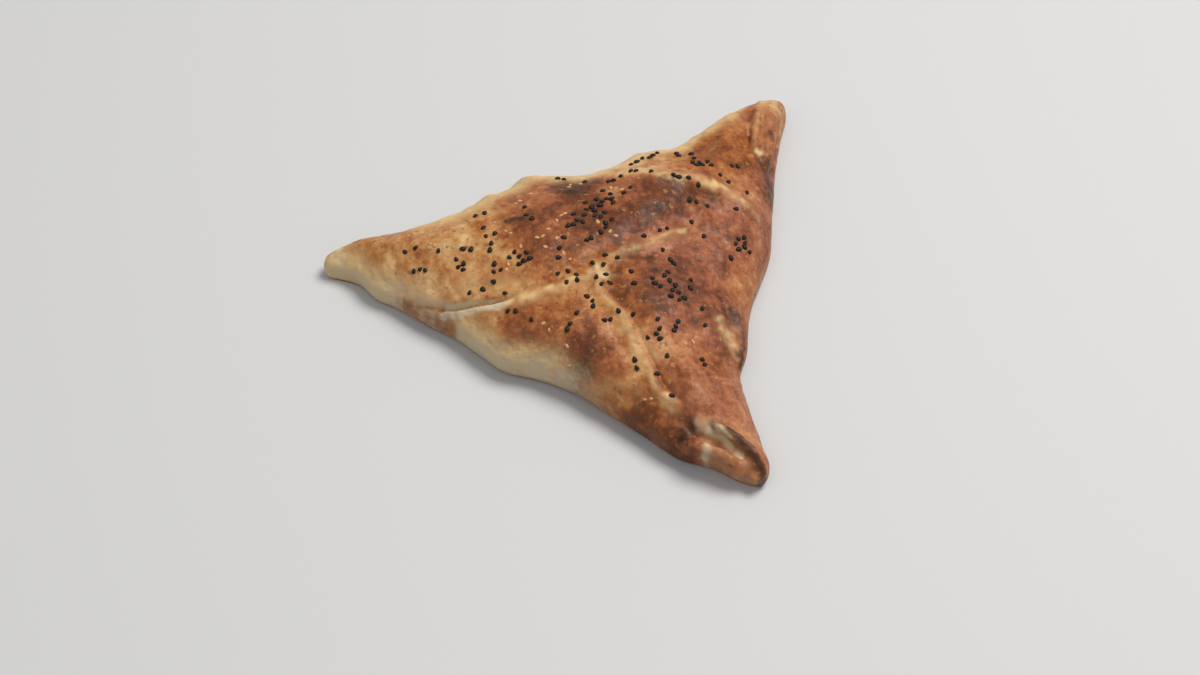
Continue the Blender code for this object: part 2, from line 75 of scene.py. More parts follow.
# Height of the widest line and radius of the shoulder above it: at a tip, mid-side, at the next tip.
RIM_HEIGHTS = [(5.5, 10.5, 7.5), (7.5, 5.0, 6.0), (6.0, 9.0, 5.5)]
SHOULDERS = [(6.0, 11.0, 7.0), (7.0, 10.0, 7.0), (7.0, 12.0, 6.0)]
SHOULDER_SQUASH = 0.92
CROWN_RISE = 16.0
CROWN_REACH = 52.0
UNDERCUT = 0.8
BELOW_TABLE = 2.0

# Rows of the parcel's mesh up its walls and in over its top, where they crowd together by the edge.
WALL_ROWS = 8
TOP_ROWS = 60
TOP_CROWDING = 1.9

# Lines in the crust in plan, each from the centre of the parcel outwards.
WEST_SEAM = [
    SEAM_CENTRE, (7.3, -18.9), (1.1, -22.2), (-5.2, -23.9), (-15.6, -25.9), (-25.7, -26.9),
    (-36.8, -26.1), (-47.2, -24.2), (-56.4, -20.7), (-64.5, -16.2),
]
NORTH_SEAM = [
    SEAM_CENTRE, (20.0, -10.0), (28.8, -3.1), (34.7, 0.1), (43.2, 4.9), (51.8, 10.1), (56.2, 13.8),
    (60.6, 20.4), (66.0, 28.2), (76.5, 44.5), (84.0, 57.0),
]
SOUTH_SEAM = [
    SEAM_CENTRE, (17.8, -22.7), (20.3, -28.2), (26.1, -34.6), (29.4, -42.2), (33.0, -51.3),
    (37.5, -60.6), (40.7, -68.4), (45.6, -74.4), (58.4, -86.4), (71.0, -94.0), (79.5, -101.0),
]
BACK_CREST = [
    (25.0, 46.0), (35.0, 41.5), (44.0, 38.6), (52.0, 37.4), (61.0, 38.0), (69.0, 37.4), (77.5, 34.0),
    (86.0, 26.0),
]
WRINKLES = [
    [(-68.0, -4.0), (-55.0, -1.0), (-41.0, 0.0)],
    [(-51.0, -21.0), (-35.0, -17.0), (-20.0, -17.0), (-8.0, -12.0)],
    [(-70.5, 4.0), (-69.0, -4.0), (-70.0, -9.0)],
]
RIGHT_TUCK = [(67.5, -15.0), (71.2, -23.0), (72.8, -32.0), (72.8, -41.0)]

# Puffs and hollows of the crust: (x, y, radius, height).
SWELLINGS = [
    (-8.0, 12.0, 17.0, 2.4), (38.0, 22.0, 15.0, 3.0), (5.0, -44.0, 14.0, 2.6), (50.0, -22.0, 16.0, 2.0),
    (-52.0, -6.0, 14.0, 1.6), (-32.0, 20.0, 10.0, 1.2), (64.0, 63.0, 12.0, -1.8), (82.0, 78.0, 18.0, -4.0),
    (58.0, -68.0, 12.0, 1.4), (68.0, -94.0, 11.0, -3.0), (-76.0, 4.0, 9.0, 1.0), (83.0, 86.0, 5.0, -1.4),
    (82.0, 74.0, 5.0, -1.4),
]

# Rolled and pinched dough at the tips: the points (x, y, z) of a roll and its radius at each.
ROLLS = [
    [(88.0, 56.0, 10.0, 2.6), (90.5, 68.0, 12.0, 4.2), (92.0, 81.0, 12.6, 4.9), (93.0, 92.0, 12.4, 5.2),
     (93.0, 97.8, 10.4, 5.0)],
    [(82.0, 56.0, 14.0, 2.0), (85.6, 67.0, 16.0, 2.3), (86.8, 79.0, 16.8, 2.4), (87.6, 90.0, 16.2, 2.4),
     (90.5, 98.4, 12.6, 3.0)],
    [(62.5, -82.5, 20.2, 1.6), (69.5, -87.5, 19.2, 2.1), (76.0, -92.0, 16.6, 2.4), (81.6, -97.2, 13.0, 2.6),
     (83.4, -100.8, 9.6, 2.7), (80.5, -103.2, 7.0, 2.6)],
    [(57.0, -90.0, 12.8, 4.6), (64.0, -93.4, 12.4, 5.0), (71.0, -96.8, 11.0, 4.6), (76.0, -99.8, 8.8, 3.9)],
    [(69.0, -14.0, 19.4, 1.6), (74.0, -22.0, 14.8, 2.4), (76.6, -31.0, 11.6, 2.6), (76.8, -40.0, 9.0, 2.4),
     (75.2, -47.0, 8.6, 2.0)],
]
BEAD_SPACING = 0.8

# The crack under the lap of the west seam runs this far behind the seam's line.
LAP_CRACK = 2.1

# Roughly the length of the outline, for the stretch marks that run up the side walls.
OUTLINE_LENGTH = 650.0

# The crust's mesh is this fine, which keeps it under 200,000 triangles.
VOXEL = 0.70

# Waves, lumps and grain of the crust: (size, height) of each, larger ones first.
NOISE = [(22.0, 0.75), (8.0, 0.35)]
GRAIN = [(4.8, 0.32), (2.6, 0.17), (1.5, 0.06)]

# Blisters that rose in the oven, lumps and small hollows: (x, y, radius, height).
BLISTERS = [
    (-16.6, 12.0, 3.2, 0.8), (-20.5, 13.0, 2.4, 0.4), (2.0, 31.5, 3.0, 0.5), (7.5, 32.0, 3.0, 0.5),
    (39.5, -8.0, 4.0, 0.6), (41.8, -22.0, 3.0, 0.4), (11.0, -52.0, 4.6, 0.6), (-2.9, -41.7, 4.0, 0.5),
    (19.5, -45.1, 3.0, 0.4), (66.5, 32.5, 3.6, 0.5), (30.0, -7.1, 2.4, 0.4), (15.3, -56.9, 3.4, 0.4),
    (55.3, -87.6, 3.0, 0.4), (54.0, -77.0, 3.4, 0.5), (93.2, 76.8, 2.0, 0.3), (65.2, -92.2, 2.4, -0.6),
    (69.6, -97.8, 3.2, 0.8), (76.6, -99.0, 2.8, 0.7), (61.0, -94.5, 2.6, 0.5), (67.0, -88.9, 1.6, 0.6),
    (70.0, -92.4, 1.6, 0.7), (90.5, 89.0, 2.6, 0.5), (92.6, 83.5, 2.0, -0.4), (95.0, 97.0, 2.4, 0.5),
]

# How far the crust is baked at places on it, 0 raw and 1 burnt: (x, y, reach, bake).
BAKED = [
    (-98.0, 7.0, 7.0, 0.08), (-88.0, 8.0, 6.0, 0.36), (-79.0, 8.0, 7.0, 0.46), (-71.0, 3.0, 4.0, 0.34),
    (-62.0, 1.0, 7.0, 0.50), (-56.0, -15.0, 6.0, 0.16), (-75.0, -7.0, 7.0, 0.20), (-44.0, 0.0, 7.0, 0.28),
    (-40.0, -12.0, 8.0, 0.34), (-18.0, -18.0, 7.0, 0.42), (-26.0, -6.0, 9.0, 0.35),
    (-52.0, 12.0, 8.0, 0.38), (-33.0, 12.0, 9.0, 0.39), (-14.0, 4.0, 9.0, 0.76), (-6.0, 16.0, 10.0, 0.71),
    (-12.0, 30.0, 8.0, 0.52), (2.0, -6.0, 8.0, 0.62), (8.0, 34.0, 8.0, 0.87), (14.0, 14.0, 9.0, 0.84),
    (30.0, 8.0, 9.0, 0.84), (42.0, 24.0, 11.0, 0.86), (26.0, 30.0, 8.0, 0.52), (45.0, 4.0, 7.0, 0.60),
    (56.0, 24.0, 8.0, 0.78), (64.0, 44.0, 8.0, 0.62), (54.0, 50.0, 8.0, 0.39), (22.0, 50.0, 6.0, 0.24),
    (34.0, 49.0, 6.0, 0.22), (45.0, 51.0, 6.0, 0.36), (80.0, 44.0, 8.0, 0.48), (90.0, 52.0, 7.0, 0.78),
    (70.0, 62.0, 9.0, 0.64), (80.0, 74.0, 7.0, 0.57), (74.0, 84.0, 8.0, 0.42), (92.0, 84.0, 7.0, 0.62),
    (28.0, -18.0, 7.0, 0.72), (38.0, -26.0, 8.0, 0.78), (50.0, -12.0, 12.0, 0.73),
    (66.0, -4.0, 10.0, 0.62), (78.0, 0.0, 6.0, 0.54), (80.0, 20.0, 9.0, 0.61), (60.0, -30.0, 10.0, 0.73),
    (50.0, -48.0, 9.0, 0.46), (63.0, -54.0, 7.0, 0.66), (68.0, -68.0, 8.0, 0.49), (56.0, -66.0, 8.0, 0.63),
    (72.0, -82.0, 7.0, 0.53), (8.0, -30.0, 7.0, 0.56), (-12.0, -36.0, 7.0, 0.69), (0.0, -46.0, 9.0, 0.53),
    (13.5, -52.0, 8.0, 0.84), (20.0, -38.0, 7.0, 0.54), (28.0, -60.0, 7.0, 0.46), (40.0, -70.0, 7.0, 0.77),
    (46.0, -82.0, 7.0, 0.74), (54.0, -92.0, 6.0, 0.68), (-32.0, -34.0, 6.0, 0.36),
    (-52.0, -24.0, 5.0, 0.74), (-58.0, -14.0, 4.0, 0.38), (74.0, -11.0, 5.0, 0.46),
    (66.0, -93.0, 6.0, 0.50), (16.0, -64.0, 6.0, 0.42), (76.0, -98.5, 5.0, 0.46), (94.0, 95.0, 4.0, 0.30),
    (-66.0, -12.0, 4.0, 0.44), (62.0, -92.0, 4.0, 0.42), (78.5, -88.0, 4.0, 0.42),
    (-90.0, 17.0, 4.5, 0.46), (-82.0, 19.0, 5.0, 0.42),
]

# Where the crust is pinkish brown rather than golden, in the same way: partly its own hue, partly painted
# sheen where a reflection of the sky lightens the brown on the right flap.
ROSY = [
    (54.0, -14.0, 16.0, 1.00), (66.0, 2.0, 14.0, 1.00), (80.0, 22.0, 12.0, 1.00),
    (62.0, -34.0, 12.0, 0.90), (48.0, -52.0, 9.0, 0.70), (64.0, -74.0, 12.0, 0.95),
    (-56.0, -15.0, 6.0, 0.80), (-8.0, 14.0, 12.0, 0.50), (44.0, 24.0, 12.0, 0.70), (78.0, -2.0, 5.0, 0.40),
    (20.0, -20.0, 14.0, 0.00), (-40.0, -4.0, 20.0, 0.10), (8.0, -48.0, 14.0, 0.25),
    (72.0, 64.0, 12.0, 0.00), (93.0, 84.0, 9.0, 0.65), (92.0, 50.0, 8.0, 1.00), (34.0, -76.0, 14.0, 0.20),
    (60.0, 40.0, 10.0, 0.30), (56.0, -92.0, 5.0, 0.80), (70.0, -95.0, 8.0, 0.70), (64.0, -54.0, 5.0, 0.10),
    (10.0, 30.0, 9.0, 0.50), (-80.0, 4.0, 12.0, 0.00), (74.0, -11.0, 5.0, 0.15), (-52.0, -24.0, 5.0, 0.80),
    # The entry at (76, -84) paints a pink-orange highlight outside the south tip's lip.
    (76.0, -84.0, 7.0, 1.00), (-66.0, -12.0, 5.0, 0.80), (-90.0, 16.0, 6.0, 0.1),
]

# Scorched streaks, some of them painted shade in crevices, gaps and on a wall turned from the light: (start
# x, start y, end x, end y, half width, strength).
SCORCHED_AND_SHADE = [
    (26, 27, 40, 24, 4.0, 0.24), (44, 22, 57, 17, 3.5, 0.22), (-22, 13, -15, 11.6, 2.4, 0.75),
    (-17, 12, -16, 12, 1.2, 1.0), (0, 31, 9, 32.2, 1.9, 0.85), (39, -6, 41, -14, 2.6, 0.85),
    (41.6, -21, 42, -27, 2.2, 0.45), (10.8, -53, 12.2, -49.5, 4.0, 0.66),
    (-3.4, -42, -2.4, -41, 3.0, 0.34), (19, -46, 20, -44, 2.6, 0.34), (14, -57, 16, -57, 2.6, 0.34),
    (66, 33, 67, 32, 2.8, 0.75), (70, 26, 85, 21, 3.6, 0.28), (53, -77, 57, -76, 2.0, 0.40),
    (69, -19.5, 72.2, -23, 2.4, 0.60), (72.2, -23, 75.5, -27.4, 2.8, 0.72),
    # The last two streaks on this line are painted shadow under the raised lip of the right tuck, by the
    # right edge.
    (75.5, -27.4, 76.5, -31, 1.6, 0.40), (79, -28, 78, -39, 1.2, 0.60), (78, -39, 76.8, -47, 1.5, 0.95),
    (29.5, -7, 30.5, -7, 1.9, 0.60), (-71.7, 6, -71.2, 0, 1.3, 0.30),
    # Painted shade: the next two streaks darken the crevice above the west lap's lip.
    (-65.8, -13.3, -58.6, -17.6, 1.2, 0.50), (-58.6, -17.6, -48.9, -21.5, 1.0, 0.50),
    # The streaks on this line and the next two are the dark rim by the south tip: partly scorched, partly
    # painted shade in the gap between the right flap's edge and the lobe.
    (63.2, -84.6, 69.8, -87.9, 1.2, 0.70), (69.8, -87.9, 74.3, -91.3, 1.6, 0.90),
    (74.3, -91.3, 78.5, -95, 1.8, 0.92), (78.5, -95, 82.1, -98.6, 1.9, 0.92),
    (82.1, -98.6, 84.4, -102.4, 1.8, 0.92), (84.4, -102.4, 83, -104, 1.5, 0.90),
    (65, -91.6, 66, -92.2, 1.8, 0.55), (55.8, -84.8, 51, -88, 2.6, 0.95),
    (51, -88, 47.4, -89.3, 2.0, 0.62), (93.3, 79.4, 94.1, 76, 1.3, 0.80),
    (98.4, 97.2, 98.8, 97, 1.2, 0.80), (87.3, 92.7, 85.2, 81.8, 1.3, 0.42),
    # The last streak on this line and the first two on the next darken the steep right wall below the north
    # roll: partly scorched, partly painted shade where it faces away from the light.
    (85.2, 81.8, 83.6, 73, 1.4, 0.48), (83.6, 73, 82, 64, 1.6, 0.34), (89, 63.4, 92, 62, 2.6, 0.72),
    (92, 62, 92, 52, 3.0, 0.66), (92, 52, 91.8, 42, 2.2, 0.55), (34, -29, 35, -30, 2.0, 0.30),
]

# Pale streaks where the dough was stretched, folded under or shaded from the heat, in the same way, and a
# painted highlight along the north roll's right rim.
PALE = [
    (27, 44.5, 35, 41.3, 3.2, 0.60), (35, 41.3, 52, 37.2, 3.0, 0.62), (52, 37.2, 61, 38.2, 2.8, 0.60),
    (82, 32.2, 87, 27, 1.4, 0.35), (-54, -13, -53, -12.6, 3.0, 0.40), (-41, -17, -17, -18, 3.4, 0.35),
    (40, 4, 54, 11.8, 1.5, 0.50), (21, 53, 29, 51, 3.0, 0.60), (17, -14, 18, -16, 3.0, 0.90),
    (61, 54, 78, 78, 1.6, 0.25), (92, 98, 97, 95, 2.6, 0.62), (92, 88, 93, 80, 2.4, 0.15),
    (18, -62, 40, -71, 2.6, 0.30), (-16, -50, 17, -65, 3.4, 0.45), (-98, 6, -91, 5, 5.0, 0.62),
    (-92, 2, -70, -12, 5.0, 0.82), (75, -85, 81, -91.6, 1.4, 0.30), (26, -35, 21.6, -37.4, 1.2, 0.35),
    (34, -53, 38.4, -50.6, 1.2, 0.30), (-72.6, 2, -73.6, -3, 1.6, 0.50),
    (60.9, 37.7, 67.4, 37.4, 2.6, 0.80), (67.4, 37.4, 72.7, 36.8, 2.6, 0.66),
    (72.7, 36.6, 77, 34.5, 2.4, 0.62), (77, 34.5, 82, 32, 1.8, 0.56), (89.5, 96, 88.1, 86, 1.6, 0.38),
    (88.1, 86, 87, 78.2, 1.6, 0.38), (87, 78.2, 86, 70, 1.5, 0.32), (87.2, 67.2, 88.4, 67.2, 1.6, 0.80),
    (60.8, -95.8, 61.4, -94, 1.8, 0.85), (64, -96.4, 77, -100, 4.0, 0.24),
    (58.6, -84.4, 62.8, -85.8, 2.2, 0.70), (62.8, -85.8, 66.9, -88.5, 1.4, 0.92),
    (66.9, -88.5, 70.1, -92.2, 1.2, 0.92), (70.1, -92.2, 75.5, -96.8, 1.0, 0.85),
    (68.3, -30.6, 71, -34.6, 2.6, 0.55), (71, -34.6, 73.1, -39.4, 3.1, 0.72),
    (73.1, -39.4, 74.8, -43.8, 1.5, 0.60), (92, 96, 90, 72, 3.0, 0.20), (63, -92.6, 69, -95.6, 2.2, 0.30),
    # The last two streaks on this line are a painted highlight along the north roll's right rim.
    (45.4, -73.6, 47, -76.4, 2.7, 1.00), (100.2, 96, 99, 90, 1.2, 0.45), (99, 90, 97.4, 79, 1.2, 0.45),
]

# Places by the edge that browned where the dough round them stayed pale, in the same way.
TOASTED = [
    (-69, -12.4, -61.1, -17.6, 1.4, 0.55), (-61.1, -17.6, -57.5, -20.4, 1.0, 0.85),
    (-57.5, -20.4, -52.2, -23.8, 1.2, 0.85), (-52.2, -23.8, -45, -27.6, 1.6, 0.85),
    # These two keep the west lap's crevice free of pale, so that its painted shade shows.
    (-65.8, -13.3, -58.6, -17.6, 1.1, 0.70), (-58.6, -17.6, -48.9, -21.5, 0.9, 0.70),
    (46, -83, 54, -91, 4.0, 0.85), (22, -68, 44, -82, 3.0, 0.50),
]

# Raw dough that is grey rather than golden, in the same way.
GREYED = [
    (-63, -16.4, -48, -23.4, 1.0, 0.8), (-48, -23.4, -24, -27, 2.0, 0.9),
    (58.6, -84.6, 66.7, -88.7, 2.6, 0.7), (66.7, -88.7, 75.5, -96.8, 2.0, 0.6),
    (60.8, -95.8, 61.6, -94, 2.4, 0.9), (17, -17, 29, -42, 3.0, 0.35), (64, -96.4, 77, -100, 3.6, 0.7),
    (48, -76, 49, -78, 2.4, 0.3), (87.2, 67.2, 88.4, 67.2, 2.0, 0.3),
]

# Width of the pale band along the back edge: (share of the way around the outline, width).
BACK_BAND = [(0.0, 8.0), (0.05, 10.0), (0.09, 22.0), (0.2, 20.0), (0.27, 15.0), (0.33, 11.0)]

# Seeds lie in trails: (start x, start y, end x, end y, scatter to each side, how many).
BLACK_TRAILS = [
    (-1.7, 43.8, 13.5, 39.5, 1, 3), (20, 37.3, 33.3, 41.8, 1.4, 5), (30.9, 53.4, 44, 58.2, 2.2, 6),
    (39.8, 41.1, 48.8, 38.3, 0.8, 2), (48.4, 56.9, 60.3, 59.7, 1.2, 3), (17.8, 32.7, 31.1, 28.1, 3, 4),
    (24.2, 26.5, 11.4, 19.5, 3.2, 9), (19.5, 16.6, 4.3, 8.3, 4, 10), (23.7, 14, 12.7, 0.6, 1.6, 6),
    (3, 2, 0.2, -7.2, 0.6, 3), (13.2, -7.2, 25.4, -6.8, 0.8, 2), (1, -14.3, 8.2, -18.4, 3, 5),
    (14, -11.7, 22.8, -19.2, 4, 6), (10.3, -24.2, 16.1, -31.3, 0.6, 3), (8.7, -34.8, 5, -41.7, 0.8, 3),
    (18.6, -39.3, 25.3, -34.6, 0.6, 2), (30.8, -14.5, 32, -22.6, 0.5, 2), (25.3, -34, 31.1, -35.1, 0.8, 2),
    (34.7, 5.9, 50.6, 11.2, 1.6, 3), (43.6, 1.8, 50.3, -8.9, 1, 3), (38.8, -16.5, 42.8, -23.8, 1, 3),
    (45.6, -11.8, 50.4, -22.8, 1.8, 5), (46.2, -24.4, 52.5, -26.4, 1.6, 4),
    (56.7, -7.5, 55.6, -19.1, 0.5, 2), (42.7, -39.3, 40.9, -52, 1.4, 4), (37.6, -45, 37.6, -47.8, 0.4, 1),
    (50.2, -37.7, 48.5, -42.5, 0.7, 4), (45.8, -54.2, 40.8, -63.9, 0.6, 2),
    (31.8, -53.5, 34.2, -67.6, 0.6, 2), (47.2, -73.2, 47.2, -75.9, 0.3, 1),
    (60.9, -29.7, 60.9, -63.6, 1, 4), (63.5, 10.5, 57.9, 15.4, 0.8, 2), (77.9, 15.2, 79.9, 8, 3, 7),
    (73.7, 5.3, 73.7, 2.3, 0.4, 1), (57.9, 54.3, 64.7, 48.1, 3.4, 7), (74.6, 53.3, 79.1, 55.3, 0.5, 2),
    (49.2, 38.3, 60.4, 35.4, 1, 3), (70.8, 44.2, 81.7, 38.8, 1.4, 3), (52.5, 28.6, 66, 25.2, 1.4, 3),
    (76, 28.6, 76, 25.5, 0.5, 1), (-66.2, -5.5, -54.9, -6.8, 0.8, 3), (-64.2, 4.5, -50.8, 2.1, 1, 3),
    (-42.5, -8.4, -40, -5.4, 2, 4), (-39.3, -0.6, -29.5, -1.6, 1, 3), (-35.7, 19.5, -26.7, 20.1, 0.8, 2),
    (-34, 9.2, -26.2, 1.6, 2.2, 4), (-29.3, -9.8, -23.3, -13.6, 2.6, 4),
    (-20.9, -5.6, -11.6, -10.6, 3, 7), (-34.7, -17.7, -18.6, -20.4, 2, 3),
    (-16, 22.8, -12.8, 11.8, 1.6, 3), (-20.2, -29, -10.5, -36.2, 0.8, 3),
]
WHITE_TRAILS = [
    (-55.2, 3.6, -37.2, 0.1, 1.4, 5), (-27.8, 14.9, -19.4, 1.5, 1.2, 3),
    (-20.6, 19.4, -12.3, 32.5, 1.6, 3), (-10, -0.2, -2.9, 4.5, 1.4, 3), (-4.5, -2, 7.3, -7.3, 2.6, 4),
    (0.6, 33.1, 9.6, 40.4, 1.2, 3), (19.1, 33.3, 26.4, 30.4, 1.6, 3), (3.3, 22.7, 0.5, 2.9, 2, 3),
    (17, 10.8, 26.3, 1.8, 2.4, 3), (-8, -33.5, 6.6, -52, 1.8, 4), (-22.5, -12.7, -15.9, -2.9, 1.6, 3),
    (51.7, -48.6, 55.9, -46.5, 0.8, 2), (35.4, -71, 39.1, -73.4, 1, 2),
]

# Length, width and height of a seed, the least gap between two, and how deep and how tilted they lie.
BLACK_SEED = (2.7, 2.0, 1.5)
WHITE_SEED = (2.3, 1.4, 0.85)
SEED_GAP = 2.2
SEED_SINK = 0.25
SEED_TILT = 0.15
SEED_TRIES = 30
SEED_DRAW = 7

# The photograph's camera, worked out from the round board under the parcel.
LENS_MM = 85.0
SENSOR_MM = 36.0
CAMERA_DISTANCE = 1.2075
CAMERA_ELEVATION = math.radians(51.7)
CAMERA_AIM = (17.8, -24.1, 0.0)


def smooth_line(points, steps=8, closed=False):
    """Points on a curve that passes through all the given ones without overshooting."""
    knots = np.asarray(points, float)
    count = len(knots)
    pieces = []
    for index in range(count if closed else count - 1):
        if closed:
            four = [knots[(index + shift) % count] for shift in (-1, 0, 1, 2)]
        else:
            four = [knots[min(max(index + shift, 0), count - 1)] for shift in (-1, 0, 1, 2)]
        a, b, c, d = four
        t1 = max(np.linalg.norm(b - a), 1e-6) ** 0.5
        t2 = t1 + max(np.linalg.norm(c - b), 1e-6) ** 0.5
        t3 = t2 + max(np.linalg.norm(d - c), 1e-6) ** 0.5
        t = np.linspace(t1, t2, steps, endpoint=False)[:, None]
        ab = a + (b - a) * t / t1
        bc = b + (c - b) * (t - t1) / (t2 - t1)
        cd = c + (d - c) * (t - t2) / (t3 - t2)
        left = ab + (bc - ab) * t / t2
        right = bc + (cd - bc) * (t - t1) / (t3 - t1)
        pieces.append(left + (right - left) * (t - t1) / (t2 - t1))
    if not closed:
        pieces.append(knots[-1:])
    return np.concatenate(pieces)


def even_points(line, count):
    """The same line with points at equal distances, the last one left off."""
    lengths = np.linalg.norm(np.diff(line, axis=0), axis=1)
    run = np.concatenate([[0.0], np.cumsum(lengths)])
    at = np.linspace(0.0, run[-1], count, endpoint=False)
    return np.column_stack([np.interp(at, run, line[:, axis]) for axis in range(line.shape[1])])


def outline():
    """The parcel seen from above: one even list of points for all three sides, clockwise from the west."""
    tips = [np.array(WEST_TIP), np.array(NORTH_TIP), np.array(SOUTH_TIP)]
    knots = []
    starts = []
    for index, bulges in enumerate((BACK_SIDE, RIGHT_SIDE, FRONT_SIDE)):
        start = tips[index]
        chord = tips[(index + 1) % 3] - start
        outward = np.array([-chord[1], chord[0]]) / np.linalg.norm(chord)
        starts.append(len(knots))
        knots.append(start)
        knots.extend(start + chord * share + outward * bulge for share, bulge in bulges)
    steps = 12
    curve = smooth_line(knots, steps, closed=True)
    curve = np.vstack([curve, curve[:1]])
    starts.append(len(knots))
    sides = [curve[starts[i] * steps:starts[i + 1] * steps + 1] for i in range(3)]
    return np.concatenate([even_points(side, SIDE_SAMPLES) for side in sides])


def around(levels):
    """A value for every point of the outline, eased from each tip to mid-side and on to the next tip."""
    share = np.arange(SIDE_SAMPLES) / SIDE_SAMPLES
    swell = np.sin(math.pi * share) ** 0.6
    sides = [(a + (c - a) * share) * (1 - swell) + b * swell for a, b, c in levels]
    return np.concatenate(sides)


def spine():
    """The inner line that each outline point is drawn in to: from tip to tip by way of the centre."""
    centre = np.array(SEAM_CENTRE)
    ends = []
    for tip in (WEST_TIP, NORTH_TIP, SOUTH_TIP):
        inward = centre - np.array(tip)
        ends.append(np.array(tip) + inward / np.linalg.norm(inward) * TIP_DEPTH)
    share = (np.arange(SIDE_SAMPLES) / SIDE_SAMPLES)[:, None]
    rows = []
    for index in range(3):
        first = ends[index] + (centre - ends[index]) * np.minimum(share * 2, 1.0)
        second = (ends[(index + 1) % 3] - centre) * np.maximum(share * 2 - 1, 0.0)
        rows.append(first + second)
    return np.concatenate(rows)


def beside(plan, line):
    """Distance of plan points from a line, share of the way along it, and distance signed + on its left."""
    line = np.asarray(line, float)
    steps = np.diff(line, axis=0)
    lengths = np.linalg.norm(steps, axis=1)
    run = np.concatenate([[0.0], np.cumsum(lengths)])
    nearest = np.full(len(plan), 1e9)
    share = np.zeros(len(plan))
    signed = np.zeros(len(plan))
    for index, step in enumerate(steps):
        if lengths[index] < 1e-9:
            continue
        offset = plan - line[index]
        along = np.clip(offset @ step / lengths[index] ** 2, 0.0, 1.0)
        gap = offset - along[:, None] * step
        far = np.hypot(gap[:, 0], gap[:, 1])
        closer = far < nearest
        left = np.sign(step[0] * offset[:, 1] - step[1] * offset[:, 0])
        nearest[closer] = far[closer]
        share[closer] = (run[index] + along[closer] * lengths[index]) / run[-1]
        signed[closer] = (far * left)[closer]
    return nearest, share, signed


def bump(distance, width):
    """A rounded ridge: 1 on the line and next to nothing two widths away."""
    return np.exp(-(distance / width) ** 2)


def ease(value, low, high):
    """0 below low, 1 above high and smooth in between, also with low above high."""
    share = np.clip((value - low) / (high - low), 0.0, 1.0)
    return share * share * (3 - 2 * share)


def fade_ends(share):
    """1 along most of a line and 0 at both its ends."""
    return np.sin(math.pi * np.clip(share, 0.0, 1.0)) ** 0.5


EDGE = outline()
EDGE_LOOP = np.vstack([EDGE, EDGE[:1]])
RIM = around(RIM_HEIGHTS)
SHOULDER = around(SHOULDERS)


def from_edge(plan, values):
    """A value given around the outline, blended over the inside so that the nearest edge counts most."""
    result = np.empty(len(plan))
    batch = 4000
    for start in range(0, len(plan), batch):
        part = plan[start:start + batch]
        square = ((part[:, None, :] - EDGE[None, :, :]) ** 2).sum(axis=2)
        weight = 1.0 / (square + 0.5) ** 2
        result[start:start + batch] = weight @ values / weight.sum(axis=1)
    return result


def puffed_top(plan):
    """Height of the top of the parcel without its seams and wrinkles, for points inside the outline."""
    far = beside(plan, EDGE_LOOP)[0]
    shoulder = from_edge(plan, SHOULDER)
    round_in = np.clip(far / shoulder, 0.0, 1.0)
    height = from_edge(plan, RIM) + shoulder * SHOULDER_SQUASH * np.sqrt(1 - (1 - round_in) ** 2)
    rise = np.clip((far - 2.0) / CROWN_REACH, 0.0, 1.0)
    height = height + CROWN_RISE * (1 - (1 - rise) ** 2)
    for x, y, radius, swell in SWELLINGS:
        height = height + swell * bump(np.hypot(plan[:, 0] - x, plan[:, 1] - y), radius)
    return height


